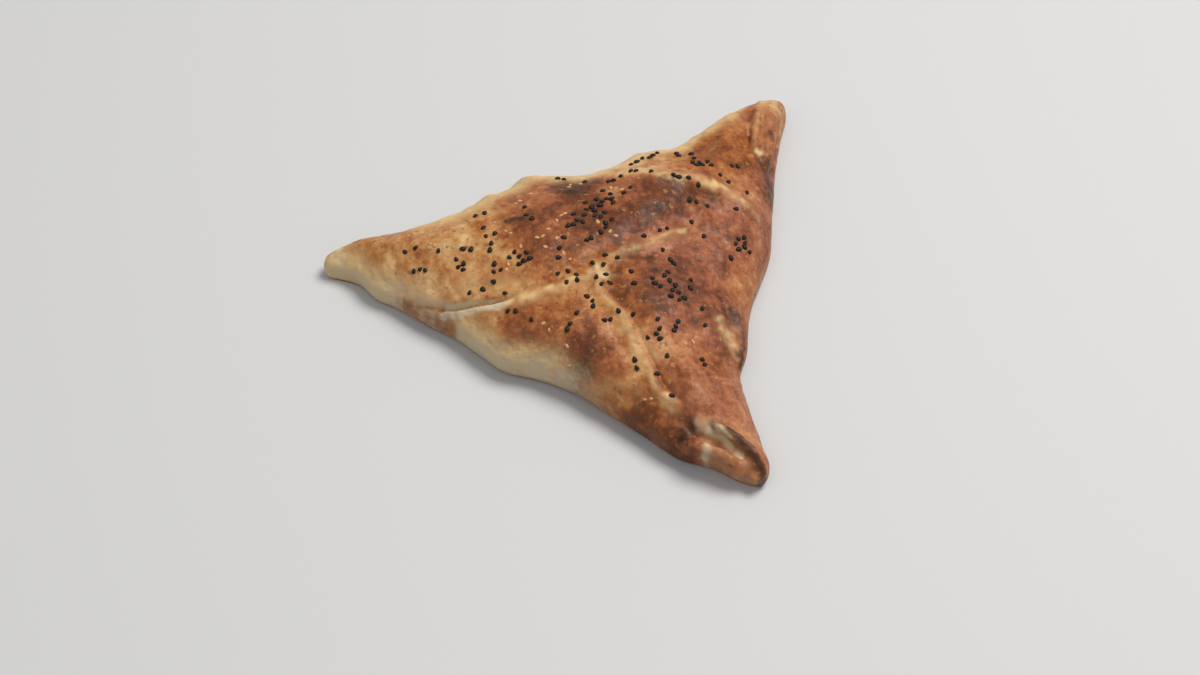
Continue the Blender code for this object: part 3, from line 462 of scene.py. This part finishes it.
def seam_relief(plan, edge_far):
    """Heights of the seams, the crest behind them and the wrinkles, to add to the puffed top."""
    inner = ease(edge_far, 0.5, 4.5)

    # The west seam is a ridge by the centre, and farther out a crack between two low ridges.
    west, west_share, west_side = beside(plan, smooth_line(WEST_SEAM))
    lapped = ease(west_share, 0.35, 0.5)
    ended = ease(west_share, 1.0, 0.94)
    lap = 1.1 * bump(west_side + 4.2, 2.2) - 1.4 * bump(west_side + LAP_CRACK, 0.8)
    lap += 0.8 * bump(west_side, 1.8)

    # The south seam is a pinched ridge with a crack on its right, and an open groove near the tip.
    south, south_share, south_side = beside(plan, smooth_line(SOUTH_SEAM))
    pinched = ease(south_share, 0.74, 0.58)
    open_end = ease(south_share, 0.62, 0.74) * ease(south_share, 0.98, 0.9)

    north, north_share, _ = beside(plan, smooth_line(NORTH_SEAM))
    kneaded = 1.0 + 0.7 * np.array([noise.noise(Vector((x, y, 9.0)) / 5.0) for x, y in plan])

    # Every seam lies in a wide valley, and the unevenly kneaded ridges rise from it.
    valley = np.maximum.reduce([
        1.3 * bump(west, 9.0) * ended,
        2.4 * bump(south, 9.0) * ease(south_share, 0.85, 0.6),
        1.8 * bump(north, 9.0) * ease(north_share, 0.9, 0.6),
    ])
    ridge = kneaded * np.maximum.reduce([
        1.5 * bump(west, 2.8) * (1 - lapped),
        1.4 * bump(south, 3.1) * pinched,
        1.5 * bump(north, 3.4) * ease(north_share, 0.75, 0.5),
    ])
    height = ridge - valley + lap * lapped * ended
    height -= 0.8 * bump(south_side - 3.7, 1.0) * pinched * ease(south_share, 0.0, 0.2)
    height -= 2.4 * bump(south_side + 1.0, 2.2) * open_end

    # The crest behind the seams, the wrinkles with a soft fold beside each, and the tuck on the right.
    far, share, _ = beside(plan, smooth_line(BACK_CREST))
    height += 3.0 * bump(far, 5.0) * fade_ends(share)
    for wrinkle in WRINKLES:
        far, share, side = beside(plan, smooth_line(wrinkle))
        height += fade_ends(share) * (0.5 * bump(side - 2.8, 2.4) - 0.6 * bump(far, 1.7))
    far, share, _ = beside(plan, smooth_line(RIGHT_TUCK))
    height -= 2.2 * bump(far, 2.3) * fade_ends(share)

    # A small knob at the centre, with seven pleats around it.
    x, y = SEAM_CENTRE
    out = np.hypot(plan[:, 0] - x, plan[:, 1] - y)
    turn = np.arctan2(plan[:, 1] - y, plan[:, 0] - x)
    height += 0.8 * bump(out, 4.0) + 0.7 * np.cos(7 * turn) * bump(out - 6.0, 3.0)
    return height * inner


def waves(place, sizes):
    """Uneven heights from fixed noise, one layer for each (size, height)."""
    total = np.zeros(len(place))
    for size, depth in sizes:
        total += [depth * noise.noise(Vector(spot) / size) for spot in place]
    return total


def parcel_mesh():
    """Closed mesh of the puffed parcel in millimetres, reaching a little below the table."""
    inner = spine()
    reach = np.linalg.norm(inner - EDGE, axis=1)
    inward = (inner - EDGE) / reach[:, None]
    rows = []
    for turn in np.linspace(math.pi / 2, 0.0, WALL_ROWS, endpoint=False):
        inset = np.minimum(UNDERCUT * RIM * (1 - math.cos(turn)), reach * 0.6)
        level = RIM - (RIM + BELOW_TABLE) * math.sin(turn)
        rows.append(np.column_stack([EDGE + inward * inset[:, None], level]))
    for share in np.linspace(0.0, 1.0, TOP_ROWS) ** TOP_CROWDING:
        plan = EDGE + (inner - EDGE) * share
        rows.append(np.column_stack([plan, puffed_top(plan)]))
    loop = len(EDGE)
    faces = []
    for row in range(len(rows) - 1):
        for index in range(loop):
            after = (index + 1) % loop
            a = row * loop
            b = a + loop
            faces.append((a + after, a + index, b + index, b + after))
    faces.append(tuple(range(loop)))
    return np.concatenate(rows), faces


def new_piece(name, mesh):
    """An object that holds a finished bmesh, which is freed."""
    data = bpy.data.meshes.new(name)
    mesh.to_mesh(data)
    mesh.free()
    piece = bpy.data.objects.new(name, data)
    bpy.context.scene.collection.objects.link(piece)
    return piece


def parcel_with_rolls():
    """The parcel and its rolled tips as one object, still overlapping, in millimetres."""
    verts, faces = parcel_mesh()
    base = bpy.data.meshes.new("parcel")
    base.from_pydata([tuple(v) for v in verts], [], faces)
    mesh = bmesh.new()
    mesh.from_mesh(base)
    bpy.data.meshes.remove(base)
    bmesh.ops.remove_doubles(mesh, verts=mesh.verts, dist=0.02)
    bmesh.ops.recalc_face_normals(mesh, faces=mesh.faces)
    for roll in ROLLS:
        line = smooth_line(roll, 16)
        length = np.linalg.norm(np.diff(line[:, :3], axis=0), axis=1).sum()
        for x, y, z, radius in even_points(line, int(length / BEAD_SPACING)):
            bead = Matrix.Translation((x, y, z))
            bmesh.ops.create_icosphere(mesh, subdivisions=2, radius=radius, matrix=bead)
    return new_piece("baked_crust", mesh)


def keep_result(thing):
    """Apply every modifier of an object by taking the finished mesh in place of its own."""
    depsgraph = bpy.context.evaluated_depsgraph_get()
    data = bpy.data.meshes.new_from_object(thing.evaluated_get(depsgraph))
    thing.modifiers.clear()
    thing.data = data


def fuse_dough(thing):
    """One skin around the parcel and its rolls."""
    remesh = thing.modifiers.new("one_skin", "REMESH")
    remesh.mode = "VOXEL"
    remesh.voxel_size = VOXEL
    remesh.adaptivity = 0.0
    keep_result(thing)
    soften = thing.modifiers.new("soften", "SMOOTH")
    soften.factor = 0.5
    soften.iterations = 5
    keep_result(thing)


def cut_flat(thing):
    """Cut the dough off at the table, so that it lies on a flat face."""
    mesh = bmesh.new()
    mesh.from_mesh(thing.data)
    everything = mesh.verts[:] + mesh.edges[:] + mesh.faces[:]
    bmesh.ops.bisect_plane(
        mesh, geom=everything, dist=1e-4, plane_co=(0, 0, 0), plane_no=(0, 0, -1), clear_outer=True
    )
    rim = [edge for edge in mesh.edges if edge.is_boundary]
    bmesh.ops.holes_fill(mesh, edges=rim)
    bmesh.ops.recalc_face_normals(mesh, faces=mesh.faces)
    mesh.to_mesh(thing.data)
    mesh.free()


def read_vertices(data, what):
    """Positions or normals of a mesh's vertices as rows of an array."""
    values = np.empty(len(data.vertices) * 3)
    data.vertices.foreach_get(what, values)
    return values.reshape(-1, 3)


def fine_relief(place, edge_share, wall):
    """Cracks, blisters, grain and the stretch marks of the side walls."""
    plan = place[:, :2]
    _, share, side = beside(plan, smooth_line(WEST_SEAM))
    height = -0.6 * bump(side + LAP_CRACK, 0.6) * ease(share, 0.35, 0.5) * ease(share, 1.0, 0.94)
    _, share, side = beside(plan, smooth_line(SOUTH_SEAM))
    height -= 0.6 * bump(side - 3.5, 0.6) * ease(share, 0.3, 0.38) * ease(share, 0.68, 0.58)
    for x, y, radius, rise in BLISTERS:
        height += rise * bump(np.hypot(plan[:, 0] - x, plan[:, 1] - y), radius)
    height += waves(place, GRAIN)
    around_mm = edge_share * OUTLINE_LENGTH
    marks = [noise.noise(Vector((a / 3.6, z / 14.0, 3.0))) for a, z in zip(around_mm, place[:, 2])]
    return height * (1 - 0.6 * wall) + wall * 0.22 * np.array(marks)


def spread(plan, places):
    """Blend of the values at named places, each counting within its reach, and 0.5 far from them all."""
    faint = 0.02
    total = np.full(len(plan), 0.5 * faint)
    weight = np.full(len(plan), faint)
    for x, y, reach, value in places:
        near = bump(np.hypot(plan[:, 0] - x, plan[:, 1] - y), reach)
        total += near * value
        weight += near
    return total / weight


def streaks(plan, lines):
    """The strongest of several soft streaks at each point."""
    result = np.zeros(len(plan))
    for x0, y0, x1, y1, width, strength in lines:
        far = beside(plan, [(x0, y0), (x1, y1)])[0]
        result = np.maximum(result, strength * bump(far, width * 1.35))
    return result


def keep_values(data, name, values):
    """Store one number for every vertex, for a material to read."""
    attribute = data.attributes.new(name, "FLOAT", "POINT")
    attribute.data.foreach_set("value", np.clip(values, 0.0, 1.0).astype(np.float32))


def seam_tones(place, near):
    """Pale lines on the seams, the golden crust beside them, a pale star at the centre, and painted shade in
    the crack.
    """
    west, west_share, west_side = beside(near, smooth_line(WEST_SEAM))
    south, south_share, _ = beside(near, smooth_line(SOUTH_SEAM))
    north, north_share, _ = beside(near, smooth_line(NORTH_SEAM))
    lines = np.maximum.reduce([
        0.72 * bump(west, 3.0) * ease(west_share, 0.52, 0.40),
        1.15 * bump(west_side, 1.9) * ease(west_share, 0.34, 0.48) * ease(west_share, 1.0, 0.96),
        0.57 * bump(south, 2.0) * ease(south_share, 0.70, 0.5),
        0.40 * bump(north, 3.4) * ease(north_share, 0.6, 0.4),
    ])
    golden = np.maximum.reduce([
        0.8 * bump(west, 6.0) * ease(west_share, 0.5, 0.4),
        bump(south, 8.0) * ease(south_share, 0.75, 0.6),
        0.9 * bump(north, 8.0) * ease(north_share, 0.7, 0.5),
    ])
    x, y = SEAM_CENTRE
    out = np.hypot(near[:, 0] - x, near[:, 1] - y)
    turn = np.arctan2(near[:, 1] - y, near[:, 0] - x)
    star = bump(out, 5.5 + 2.5 * np.cos(5 * turn + 0.6))
    # Painted shade: the crack under the west lap is darkened as if in shadow.
    crack_shade = bump(beside(place[:, :2], smooth_line(WEST_SEAM))[2] + LAP_CRACK, 0.8)
    crack_shade *= ease(west_share, 0.4, 0.5) * ease(west_share, 1.0, 0.95)
    return lines, golden, star, crack_shade


def edge_tones(edge_far, edge_share, wall, ragged):
    """The pale band along the back edge, the pale front wall and the pale back wall."""
    back = ease(edge_share, 0.03, 0.08) * ease(edge_share, 0.335, 0.31)
    width = np.interp(edge_share, *zip(*BACK_BAND))
    band = ease(edge_far + ragged, width, width * 0.3) * back
    front = np.maximum(ease(edge_share, 0.755, 0.83), 0.25 * ease(edge_share, 0.70, 0.74))
    front_wall = np.maximum(wall, bump(edge_far, 6.0)) * front
    back_wall = wall * ease(edge_share, 0.04, 0.09) * ease(edge_share, 0.36, 0.33)
    return band, front_wall, back_wall


def mark_bake(data, place, normal, edge_far, edge_share):
    """Store how baked, rosy (partly painted sheen), scorched, darkened with painted shade, pale and grey the
    crust is at every vertex.
    """
    # Borders between colours wander off their lines by fixed noise, some far and some a little.
    wander = np.array([noise.noise_vector(Vector(spot) / 7.0) for spot in place])
    wander += 0.45 * np.array([noise.noise_vector(Vector(spot) / 2.6) for spot in place])
    plan = place[:, :2] + wander[:, :2] * 3.0
    near = place[:, :2] + wander[:, :2] * 1.1
    broken = 0.95 + 0.60 * np.array([noise.noise(Vector(spot) / 3.4) for spot in place])

    wall = ease(normal[:, 2], 0.75, 0.25)
    seams, golden, star, crack_shade = seam_tones(place, near)
    back_band, front_wall, back_wall = edge_tones(edge_far, edge_share, wall, 2.0 * wander[:, 2])
    pale = np.maximum.reduce([
        streaks(near, PALE) * broken, seams * broken, 0.55 * star, 0.85 * back_band, 0.95 * front_wall,
        0.75 * back_wall, 0.3 * wall,
    ])
    pale *= 1 - streaks(place[:, :2] + 0.5 * wander[:, :2], TOASTED)

    # The sole is evenly brown, and low on the walls the scorch and its painted shade are weak, except by the
    # south tip.
    sole = ease(place[:, 2], 1.6, 0.4)
    foot = ease(place[:, 2], 9.0, 3.0) * ease(place[:, 1], -78.0, -64.0)
    # Scorch, together with painted shade in crevices, in gaps and on a wall turned from the light.
    burnt_and_shade = streaks(near, SCORCHED_AND_SHADE) * (1 - 0.75 * foot)

    # Walls are chalky in upright stretch marks, less so at the west tip.
    marks = [noise.noise(Vector((along * OUTLINE_LENGTH / 4.0, 5.0, 1.0))) for along in edge_share]
    chalky = wall * (0.75 + 0.4 * np.array(marks)) * (0.75 + 0.25 * ease(place[:, 0], -90.0, -50.0))

    keep_values(data, "bake", (spread(plan, BAKED) - 0.16 * golden) * (1 - sole) + 0.6 * sole)
    keep_values(data, "rosy", spread(plan, ROSY))
    # The scorch attribute also holds painted shade, including the crack under the west lap.
    keep_values(data, "scorch_and_shade", np.maximum(burnt_and_shade, 0.55 * crack_shade))
    keep_values(data, "pale", pale * (1 - 0.8 * sole))
    keep_values(data, "grey", np.maximum(chalky, streaks(near, GREYED)))


def shape_crust(thing):
    """Raise the seams, wrinkles, blisters and grain, and store how baked each place is."""
    data = thing.data
    place = read_vertices(data, "co")
    normal = read_vertices(data, "normal")
    edge_far, edge_share, _ = beside(place[:, :2], EDGE_LOOP)
    upward = ease(normal[:, 2], 0.05, 0.6)
    place[:, 2] += seam_relief(place[:, :2], edge_far) * upward
    lift = ease(place[:, 2], 1.0, 6.0)
    wall = ease(normal[:, 2], 0.6, 0.2)
    relief = waves(place, NOISE) + fine_relief(place, edge_share, wall)
    place += normal * (relief * lift)[:, None]
    data.vertices.foreach_set("co", place.ravel())
    data.update()
    mark_bake(data, place, read_vertices(data, "normal"), edge_far, edge_share)
    for face in data.polygons:
        face.use_smooth = True


def seed_places(trails, taken):
    """Plan positions of seeds scattered along trails, none closer to another than the seed gap."""
    draw = random.Random(SEED_DRAW)
    places = []
    for x0, y0, x1, y1, scatter, count in trails:
        length = math.hypot(x1 - x0, y1 - y0)
        across = (-(y1 - y0) / length, (x1 - x0) / length)
        for index in range(count):
            for _ in range(SEED_TRIES):
                share = (index + draw.uniform(-0.4, 1.4)) / count
                aside = draw.gauss(0.0, scatter * 0.6)
                x = x0 + (x1 - x0) * share + across[0] * aside
                y = y0 + (y1 - y0) * share + across[1] * aside
                if all(math.hypot(x - a, y - b) > SEED_GAP for a, b in taken + places):
                    places.append((x, y))
                    break
    return places


def seed_points(name, places, size, tree, draw):
    """An object with a vertex for each seed, set on the crust, that carries how the seed is turned."""
    spots = []
    turns = []
    for x, y in places:
        high_above = Vector((x, y, 200.0))
        point, normal, _, _ = tree.ray_cast(high_above, Vector((0.0, 0.0, -1.0)))
        turn = Matrix.Rotation(draw.uniform(0.0, math.pi), 3, "Z")
        stand = normal.to_track_quat("Z", "Y").to_matrix()
        tilt = Matrix.Rotation(draw.gauss(0.0, SEED_TILT), 3, "Y")
        spots.append(point + normal * (size[2] * 0.3 - SEED_SINK))
        turns.append((stand @ turn @ tilt).to_euler())
    data = bpy.data.meshes.new(name)
    data.from_pydata(spots, [], [])
    attribute = data.attributes.new("turn", "FLOAT_VECTOR", "POINT")
    attribute.data.foreach_set("vector", [angle for turn in turns for angle in turn])
    piece = bpy.data.objects.new(name, data)
    bpy.context.scene.collection.objects.link(piece)
    return piece


def add_node(tree, kind, settings=None, links=None):
    """Add a node with its settings, and set or link its inputs by name or number."""
    node = tree.nodes.new(kind)
    for name, value in (settings or {}).items():
        setattr(node, name, value)
    for name, value in (links or {}).items():
        if isinstance(value, bpy.types.NodeSocket):
            tree.links.new(value, node.inputs[name])
        else:
            node.inputs[name].default_value = value
    return node


def maths(tree, operation, *values):
    """The result of a sum, product or the like of some values or sockets."""
    return add_node(tree, "ShaderNodeMath", {"operation": operation}, dict(enumerate(values))).outputs[0]


def seed_tree(material):
    """Geometry Nodes that put one drop-shaped seed of uneven size on every point."""
    tree = bpy.data.node_groups.new("seeds_on_points", "GeometryNodeTree")
    tree.interface.new_socket("Geometry", in_out="OUTPUT", socket_type="NodeSocketGeometry")
    tree.interface.new_socket("Points", in_out="INPUT", socket_type="NodeSocketGeometry")
    for name in ("Length", "Width", "Height", "Unevenness"):
        tree.interface.new_socket(name, in_out="INPUT", socket_type="NodeSocketFloat")
    given = add_node(tree, "NodeGroupInput").outputs
    ball = add_node(tree, "GeometryNodeMeshUVSphere", links={"Segments": 9, "Rings": 6, "Radius": 0.5})
    where = add_node(tree, "GeometryNodeInputPosition")
    split = add_node(tree, "ShaderNodeSeparateXYZ", links={0: where.outputs[0]})
    taper = maths(tree, "MULTIPLY_ADD", split.outputs["X"], -0.7, 1.0)
    narrow = maths(tree, "MULTIPLY", split.outputs["Y"], taper)
    drop = add_node(
        tree, "ShaderNodeCombineXYZ", links={"X": split.outputs["X"], "Y": narrow, "Z": split.outputs["Z"]}
    )
    shaped = add_node(
        tree, "GeometryNodeSetPosition",
        links={"Geometry": ball.outputs["Mesh"], "Position": drop.outputs[0]},
    )
    size = add_node(
        tree, "ShaderNodeCombineXYZ",
        links={"X": given["Length"], "Y": given["Width"], "Z": given["Height"]},
    )
    seed = add_node(
        tree, "GeometryNodeTransform", links={"Geometry": shaped.outputs[0], "Scale": size.outputs[0]}
    )
    smooth = add_node(tree, "GeometryNodeSetShadeSmooth", links={"Geometry": seed.outputs[0]})
    small = maths(tree, "SUBTRACT", 1.0, given["Unevenness"])
    large = maths(tree, "ADD", 1.0, given["Unevenness"])
    uneven = add_node(
        tree, "FunctionNodeRandomValue", {"data_type": "FLOAT"}, {2: small, 3: large, "Seed": SEED_DRAW}
    )
    turn = add_node(tree, "GeometryNodeInputNamedAttribute", {"data_type": "FLOAT_VECTOR"}, {"Name": "turn"})
    facing = add_node(tree, "FunctionNodeEulerToRotation", links={0: turn.outputs["Attribute"]})
    placed = add_node(
        tree, "GeometryNodeInstanceOnPoints",
        links={
            "Points": given["Points"], "Instance": smooth.outputs[0],
            "Rotation": facing.outputs[0], "Scale": uneven.outputs[1],
        },
    )
    real = add_node(tree, "GeometryNodeRealizeInstances", links={"Geometry": placed.outputs[0]})
    painted = add_node(
        tree, "GeometryNodeSetMaterial", links={"Geometry": real.outputs[0], "Material": material}
    )
    add_node(tree, "NodeGroupOutput", links={0: painted.outputs[0]})
    return tree


def grow_seeds(points, size, unevenness, material):
    """Turn seed points into a plain mesh of seeds."""
    tree = seed_tree(material)
    grow = points.modifiers.new("seeds", "NODES")
    grow.node_group = tree
    sizes = dict(zip(("Length", "Width", "Height"), size), Unevenness=unevenness)
    for socket in tree.interface.items_tree:
        if socket.name in sizes:
            grow[socket.identifier] = sizes[socket.name]
    keep_result(points)
    points.data.materials.clear()
    points.data.materials.append(material)


def linear(colour):
    """An sRGB hex colour as linear red, green, blue and alpha."""
    levels = [int(colour[start:start + 2], 16) / 255 for start in (1, 3, 5)]
    return [c / 12.92 if c <= 0.04045 else ((c + 0.055) / 1.055) ** 2.4 for c in levels] + [1.0]


def new_material(name):
    """A material with a lone Principled shader, its tree and that shader."""
    material = bpy.data.materials.new(name)
    material.use_nodes = True
    return material, material.node_tree, material.node_tree.nodes["Principled BSDF"]


def shaded(tree, value, stops):
    """The sRGB colours that a value runs through, given as (value, colour)."""
    ramp = add_node(tree, "ShaderNodeValToRGB", links={0: value})
    elements = ramp.color_ramp.elements
    while len(elements) < len(stops):
        elements.new(0.5)
    for element, (place, colour) in zip(elements, stops):
        element.position = place
        element.color = linear(colour)
    return ramp.outputs[0]


def mixed(tree, share, first, second):
    """The first colour, turning to the second as the share goes from 0 to 1."""
    inputs = {0: share, 6: first, 7: second}
    return add_node(tree, "ShaderNodeMix", {"data_type": "RGBA"}, inputs).outputs[2]


def stepped(tree, value, low, high, most=1.0):
    """0 where a value is under low, the most where it is over high, and smooth in between."""
    inputs = {"Value": value, "From Min": low, "From Max": high, "To Max": most}
    return add_node(tree, "ShaderNodeMapRange", {"interpolation_type": "SMOOTHSTEP"}, inputs).outputs[0]


def grain_size(mm):
    """Scale of a noise texture on Object coordinates for lumps of a size in millimetres."""
    return 1.0 / (mm * MM)


def layered(tree, base, layers):
    """A value with noise laid over it: for each (noise, strength), the noise about its middle times that."""
    total = base
    for layer, strength in layers:
        total = maths(tree, "MULTIPLY_ADD", layer, strength, total)
        total = maths(tree, "SUBTRACT", total, strength / 2)
    return total


def baked_dough():
    """Wheat dough brushed with egg and oven-baked: golden where thin, rosy brown to purple-black where it
    blistered, floury cream where it was pinched or folded under, with a soft uneven gloss. The rosy brown is
    partly painted sheen, small bright spots are painted highlights, and the scorch holds painted shade."""
    material, tree, shader = new_material("egg_washed_wheat_dough_oven_baked")
    spot = add_node(tree, "ShaderNodeTexCoord").outputs["Object"]
    given = {}
    for name in ("bake", "rosy", "scorch_and_shade", "pale", "grey"):
        given[name] = add_node(tree, "ShaderNodeAttribute", {"attribute_name": name}).outputs["Fac"]
    grain = {}
    for name, size, detail in (
        ("patches", 15.0, 3.0), ("mottle", 6.0, 4.0), ("flecks", 2.3, 3.0), ("freckles", 3.4, 1.0),
        ("glint_spots", 2.6, 1.0), ("pores", 0.9, 3.0),
    ):
        grain[name] = add_node(
            tree, "ShaderNodeTexNoise",
            links={"Vector": spot, "Scale": grain_size(size), "Detail": detail, "Roughness": 0.6},
        ).outputs["Fac"]

    browned = layered(tree, given["bake"], [
        (grain["patches"], 0.50), (grain["mottle"], 0.82), (grain["flecks"], 0.46),
    ])
    golden = shaded(tree, browned, [
        (0.00, "#cfba8f"), (0.18, "#bd9967"), (0.36, "#ab7b4a"), (0.54, "#95582b"), (0.74, "#6c3b1e"),
        (1.00, "#3e2718"),
    ])
    pinkish = shaded(tree, browned, [
        (0.00, "#d0ad88"), (0.20, "#ba8a60"), (0.42, "#a16848"), (0.62, "#874f36"), (0.80, "#633824"),
        (1.00, "#3d261b"),
    ])
    # The rosy tone is partly the crust's hue and partly painted sheen.
    toned = mixed(tree, given["rosy"], golden, pinkish)
    freckled = stepped(tree, grain["freckles"], 0.62, 0.72, most=0.55)
    toned = mixed(tree, freckled, toned, linear("#6e3a20"))
    # Painted highlights: small bright golden spots where the egg glaze glints on blisters.
    glinted = stepped(tree, grain["glint_spots"], 0.64, 0.76, most=0.3)
    toned = mixed(tree, glinted, toned, linear("#cf9c66"))

    # The scorch mask also carries painted shade; scorch and shade both turn the crust dark brown.
    burnt_and_shade_here = layered(tree, given["scorch_and_shade"], [(grain["mottle"], 0.5), (grain["flecks"], 0.6)])
    burnt_and_shade = stepped(tree, burnt_and_shade_here, 0.16, 1.0, most=0.95)
    scorch_and_shade = mixed(tree, burnt_and_shade, toned, linear("#3e251a"))

    floury_here = layered(tree, given["pale"], [(grain["mottle"], 0.6), (grain["flecks"], 0.6)])
    floury = stepped(tree, floury_here, 0.10, 1.12)
    cream = mixed(tree, given["grey"], linear("#d2b17c"), linear("#bbae94"))
    coloured = mixed(tree, floury, scorch_and_shade, cream)
    tree.links.new(coloured, shader.inputs["Base Color"])

    dull = layered(tree, 0.47, [(floury, 0.20), (grain["mottle"], 0.3), (grain["flecks"], 0.2)])
    tree.links.new(dull, shader.inputs["Roughness"])
    shader.inputs["IOR"].default_value = 1.45
    shader.inputs["Specular IOR Level"].default_value = 0.16

    rough = add_node(
        tree, "ShaderNodeBump", links={"Strength": 0.6, "Distance": 0.15 * MM, "Height": grain["pores"]}
    )
    lumpy = add_node(
        tree, "ShaderNodeBump",
        links={
            "Strength": 0.8, "Distance": 0.45 * MM, "Height": grain["flecks"], "Normal": rough.outputs[0],
        },
    )
    tree.links.new(lumpy.outputs[0], shader.inputs["Normal"])
    return material


def seed_coat(name, dark, light, roughness):
    """A dry seed's skin: two close tones in flecks, and a fine bump that keeps the gloss soft."""
    material, tree, shader = new_material(name)
    spot = add_node(tree, "ShaderNodeTexCoord").outputs["Object"]
    flecks = add_node(
        tree, "ShaderNodeTexNoise", links={"Vector": spot, "Scale": grain_size(1.3), "Detail": 2.0}
    ).outputs["Fac"]
    coat = shaded(tree, flecks, [(0.3, dark), (0.7, light)])
    tree.links.new(coat, shader.inputs["Base Color"])
    shader.inputs["Roughness"].default_value = roughness
    shader.inputs["Specular IOR Level"].default_value = 0.3
    skin = add_node(tree, "ShaderNodeTexNoise", links={"Vector": spot, "Scale": grain_size(0.3)})
    pitted = add_node(
        tree, "ShaderNodeBump", links={"Strength": 0.4, "Distance": 0.05 * MM, "Height": skin.outputs["Fac"]}
    )
    tree.links.new(pitted.outputs[0], shader.inputs["Normal"])
    return material


def pale_table():
    """A plain matt table top, only a ground for the shadow."""
    material, _, shader = new_material("matt_pale_table")
    shader.inputs["Base Color"].default_value = linear("#bcbcbc")
    shader.inputs["Roughness"].default_value = 0.7
    return material


def to_metres(pieces, middle):
    """Put millimetre meshes with their middle over the origin and turn them to metres."""
    for piece in pieces:
        piece.data.transform(Matrix.Translation((-middle[0], -middle[1], 0.0)))
        piece.data.transform(Matrix.Scale(MM, 4))


def make_fatayer():
    """The crust, the black seeds and the white seeds, each a piece of its own."""
    crust = parcel_with_rolls()
    fuse_dough(crust)
    cut_flat(crust)
    shape_crust(crust)
    crust.data.materials.clear()
    crust.data.materials.append(baked_dough())

    data = crust.data
    tree = BVHTree.FromPolygons([v.co for v in data.vertices], [f.vertices for f in data.polygons])
    draw = random.Random(SEED_DRAW + 1)
    black_places = seed_places(BLACK_TRAILS, [])
    white_places = seed_places(WHITE_TRAILS, black_places)
    black = seed_points("black_seeds", black_places, BLACK_SEED, tree, draw)
    white = seed_points("white_seeds", white_places, WHITE_SEED, tree, draw)
    nigella = seed_coat("nigella_seed_dried", dark="#0d0a08", light="#211813", roughness=0.62)
    grow_seeds(black, BLACK_SEED, unevenness=0.14, material=nigella)
    sesame = seed_coat("sesame_seed_hulled_toasted", dark="#ad8054", light="#c79d70", roughness=0.55)
    grow_seeds(white, WHITE_SEED, unevenness=0.16, material=sesame)

    spots = read_vertices(crust.data, "co")
    middle = (spots.min(axis=0) + spots.max(axis=0)) / 2
    to_metres((crust, black, white), middle)
    return (crust, black, white), middle


def add_lamp(name, place, size, power, colour):
    """A large soft lamp that points at the parcel."""
    lamp = bpy.data.lights.new(name, "AREA")
    lamp.shape = "DISK"
    lamp.size = size
    lamp.energy = power
    lamp.color = linear(colour)[:3]
    holder = bpy.data.objects.new(name, lamp)
    holder.location = place
    holder.rotation_euler = (-Vector(place)).to_track_quat("-Z", "Y").to_euler()
    bpy.context.scene.collection.objects.link(holder)


def add_camera(middle):
    """The photograph's view: straight on, looking down at the board."""
    camera = bpy.data.cameras.new("camera")
    camera.lens = LENS_MM
    camera.sensor_width = SENSOR_MM
    holder = bpy.data.objects.new("camera", camera)
    back = Vector((0.0, -math.cos(CAMERA_ELEVATION), math.sin(CAMERA_ELEVATION)))
    aim = (Vector(CAMERA_AIM) - Vector((middle[0], middle[1], 0.0))) * MM
    holder.location = aim + back * CAMERA_DISTANCE
    holder.rotation_euler = (math.pi / 2 - CAMERA_ELEVATION, 0.0, 0.0)
    bpy.context.scene.collection.objects.link(holder)
    bpy.context.scene.camera = holder


def set_stage():
    """Pale floor, soft window light from high on the right, weak light all round."""
    mesh = bmesh.new()
    bmesh.ops.create_grid(mesh, x_segments=1, y_segments=1, size=2.5)
    floor = new_piece("floor", mesh)
    floor.data.materials.append(pale_table())
    add_lamp("window", (0.9, 0.5, 2.1), size=1.2, power=56.0, colour="#fffcf8")
    add_lamp("room", (-0.9, -0.9, 1.6), size=1.6, power=6.0, colour="#f8faff")
    world = bpy.data.worlds.new("room")
    world.use_nodes = True
    world.node_tree.nodes["Background"].inputs["Color"].default_value = linear("#f0f2f4")
    world.node_tree.nodes["Background"].inputs["Strength"].default_value = 0.45
    bpy.context.scene.world = world
    bpy.context.scene.view_settings.view_transform = "Standard"


pieces, middle = make_fatayer()
for piece in pieces:
    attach(piece, "root")
    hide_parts(NODE)
set_stage()
add_camera(middle)
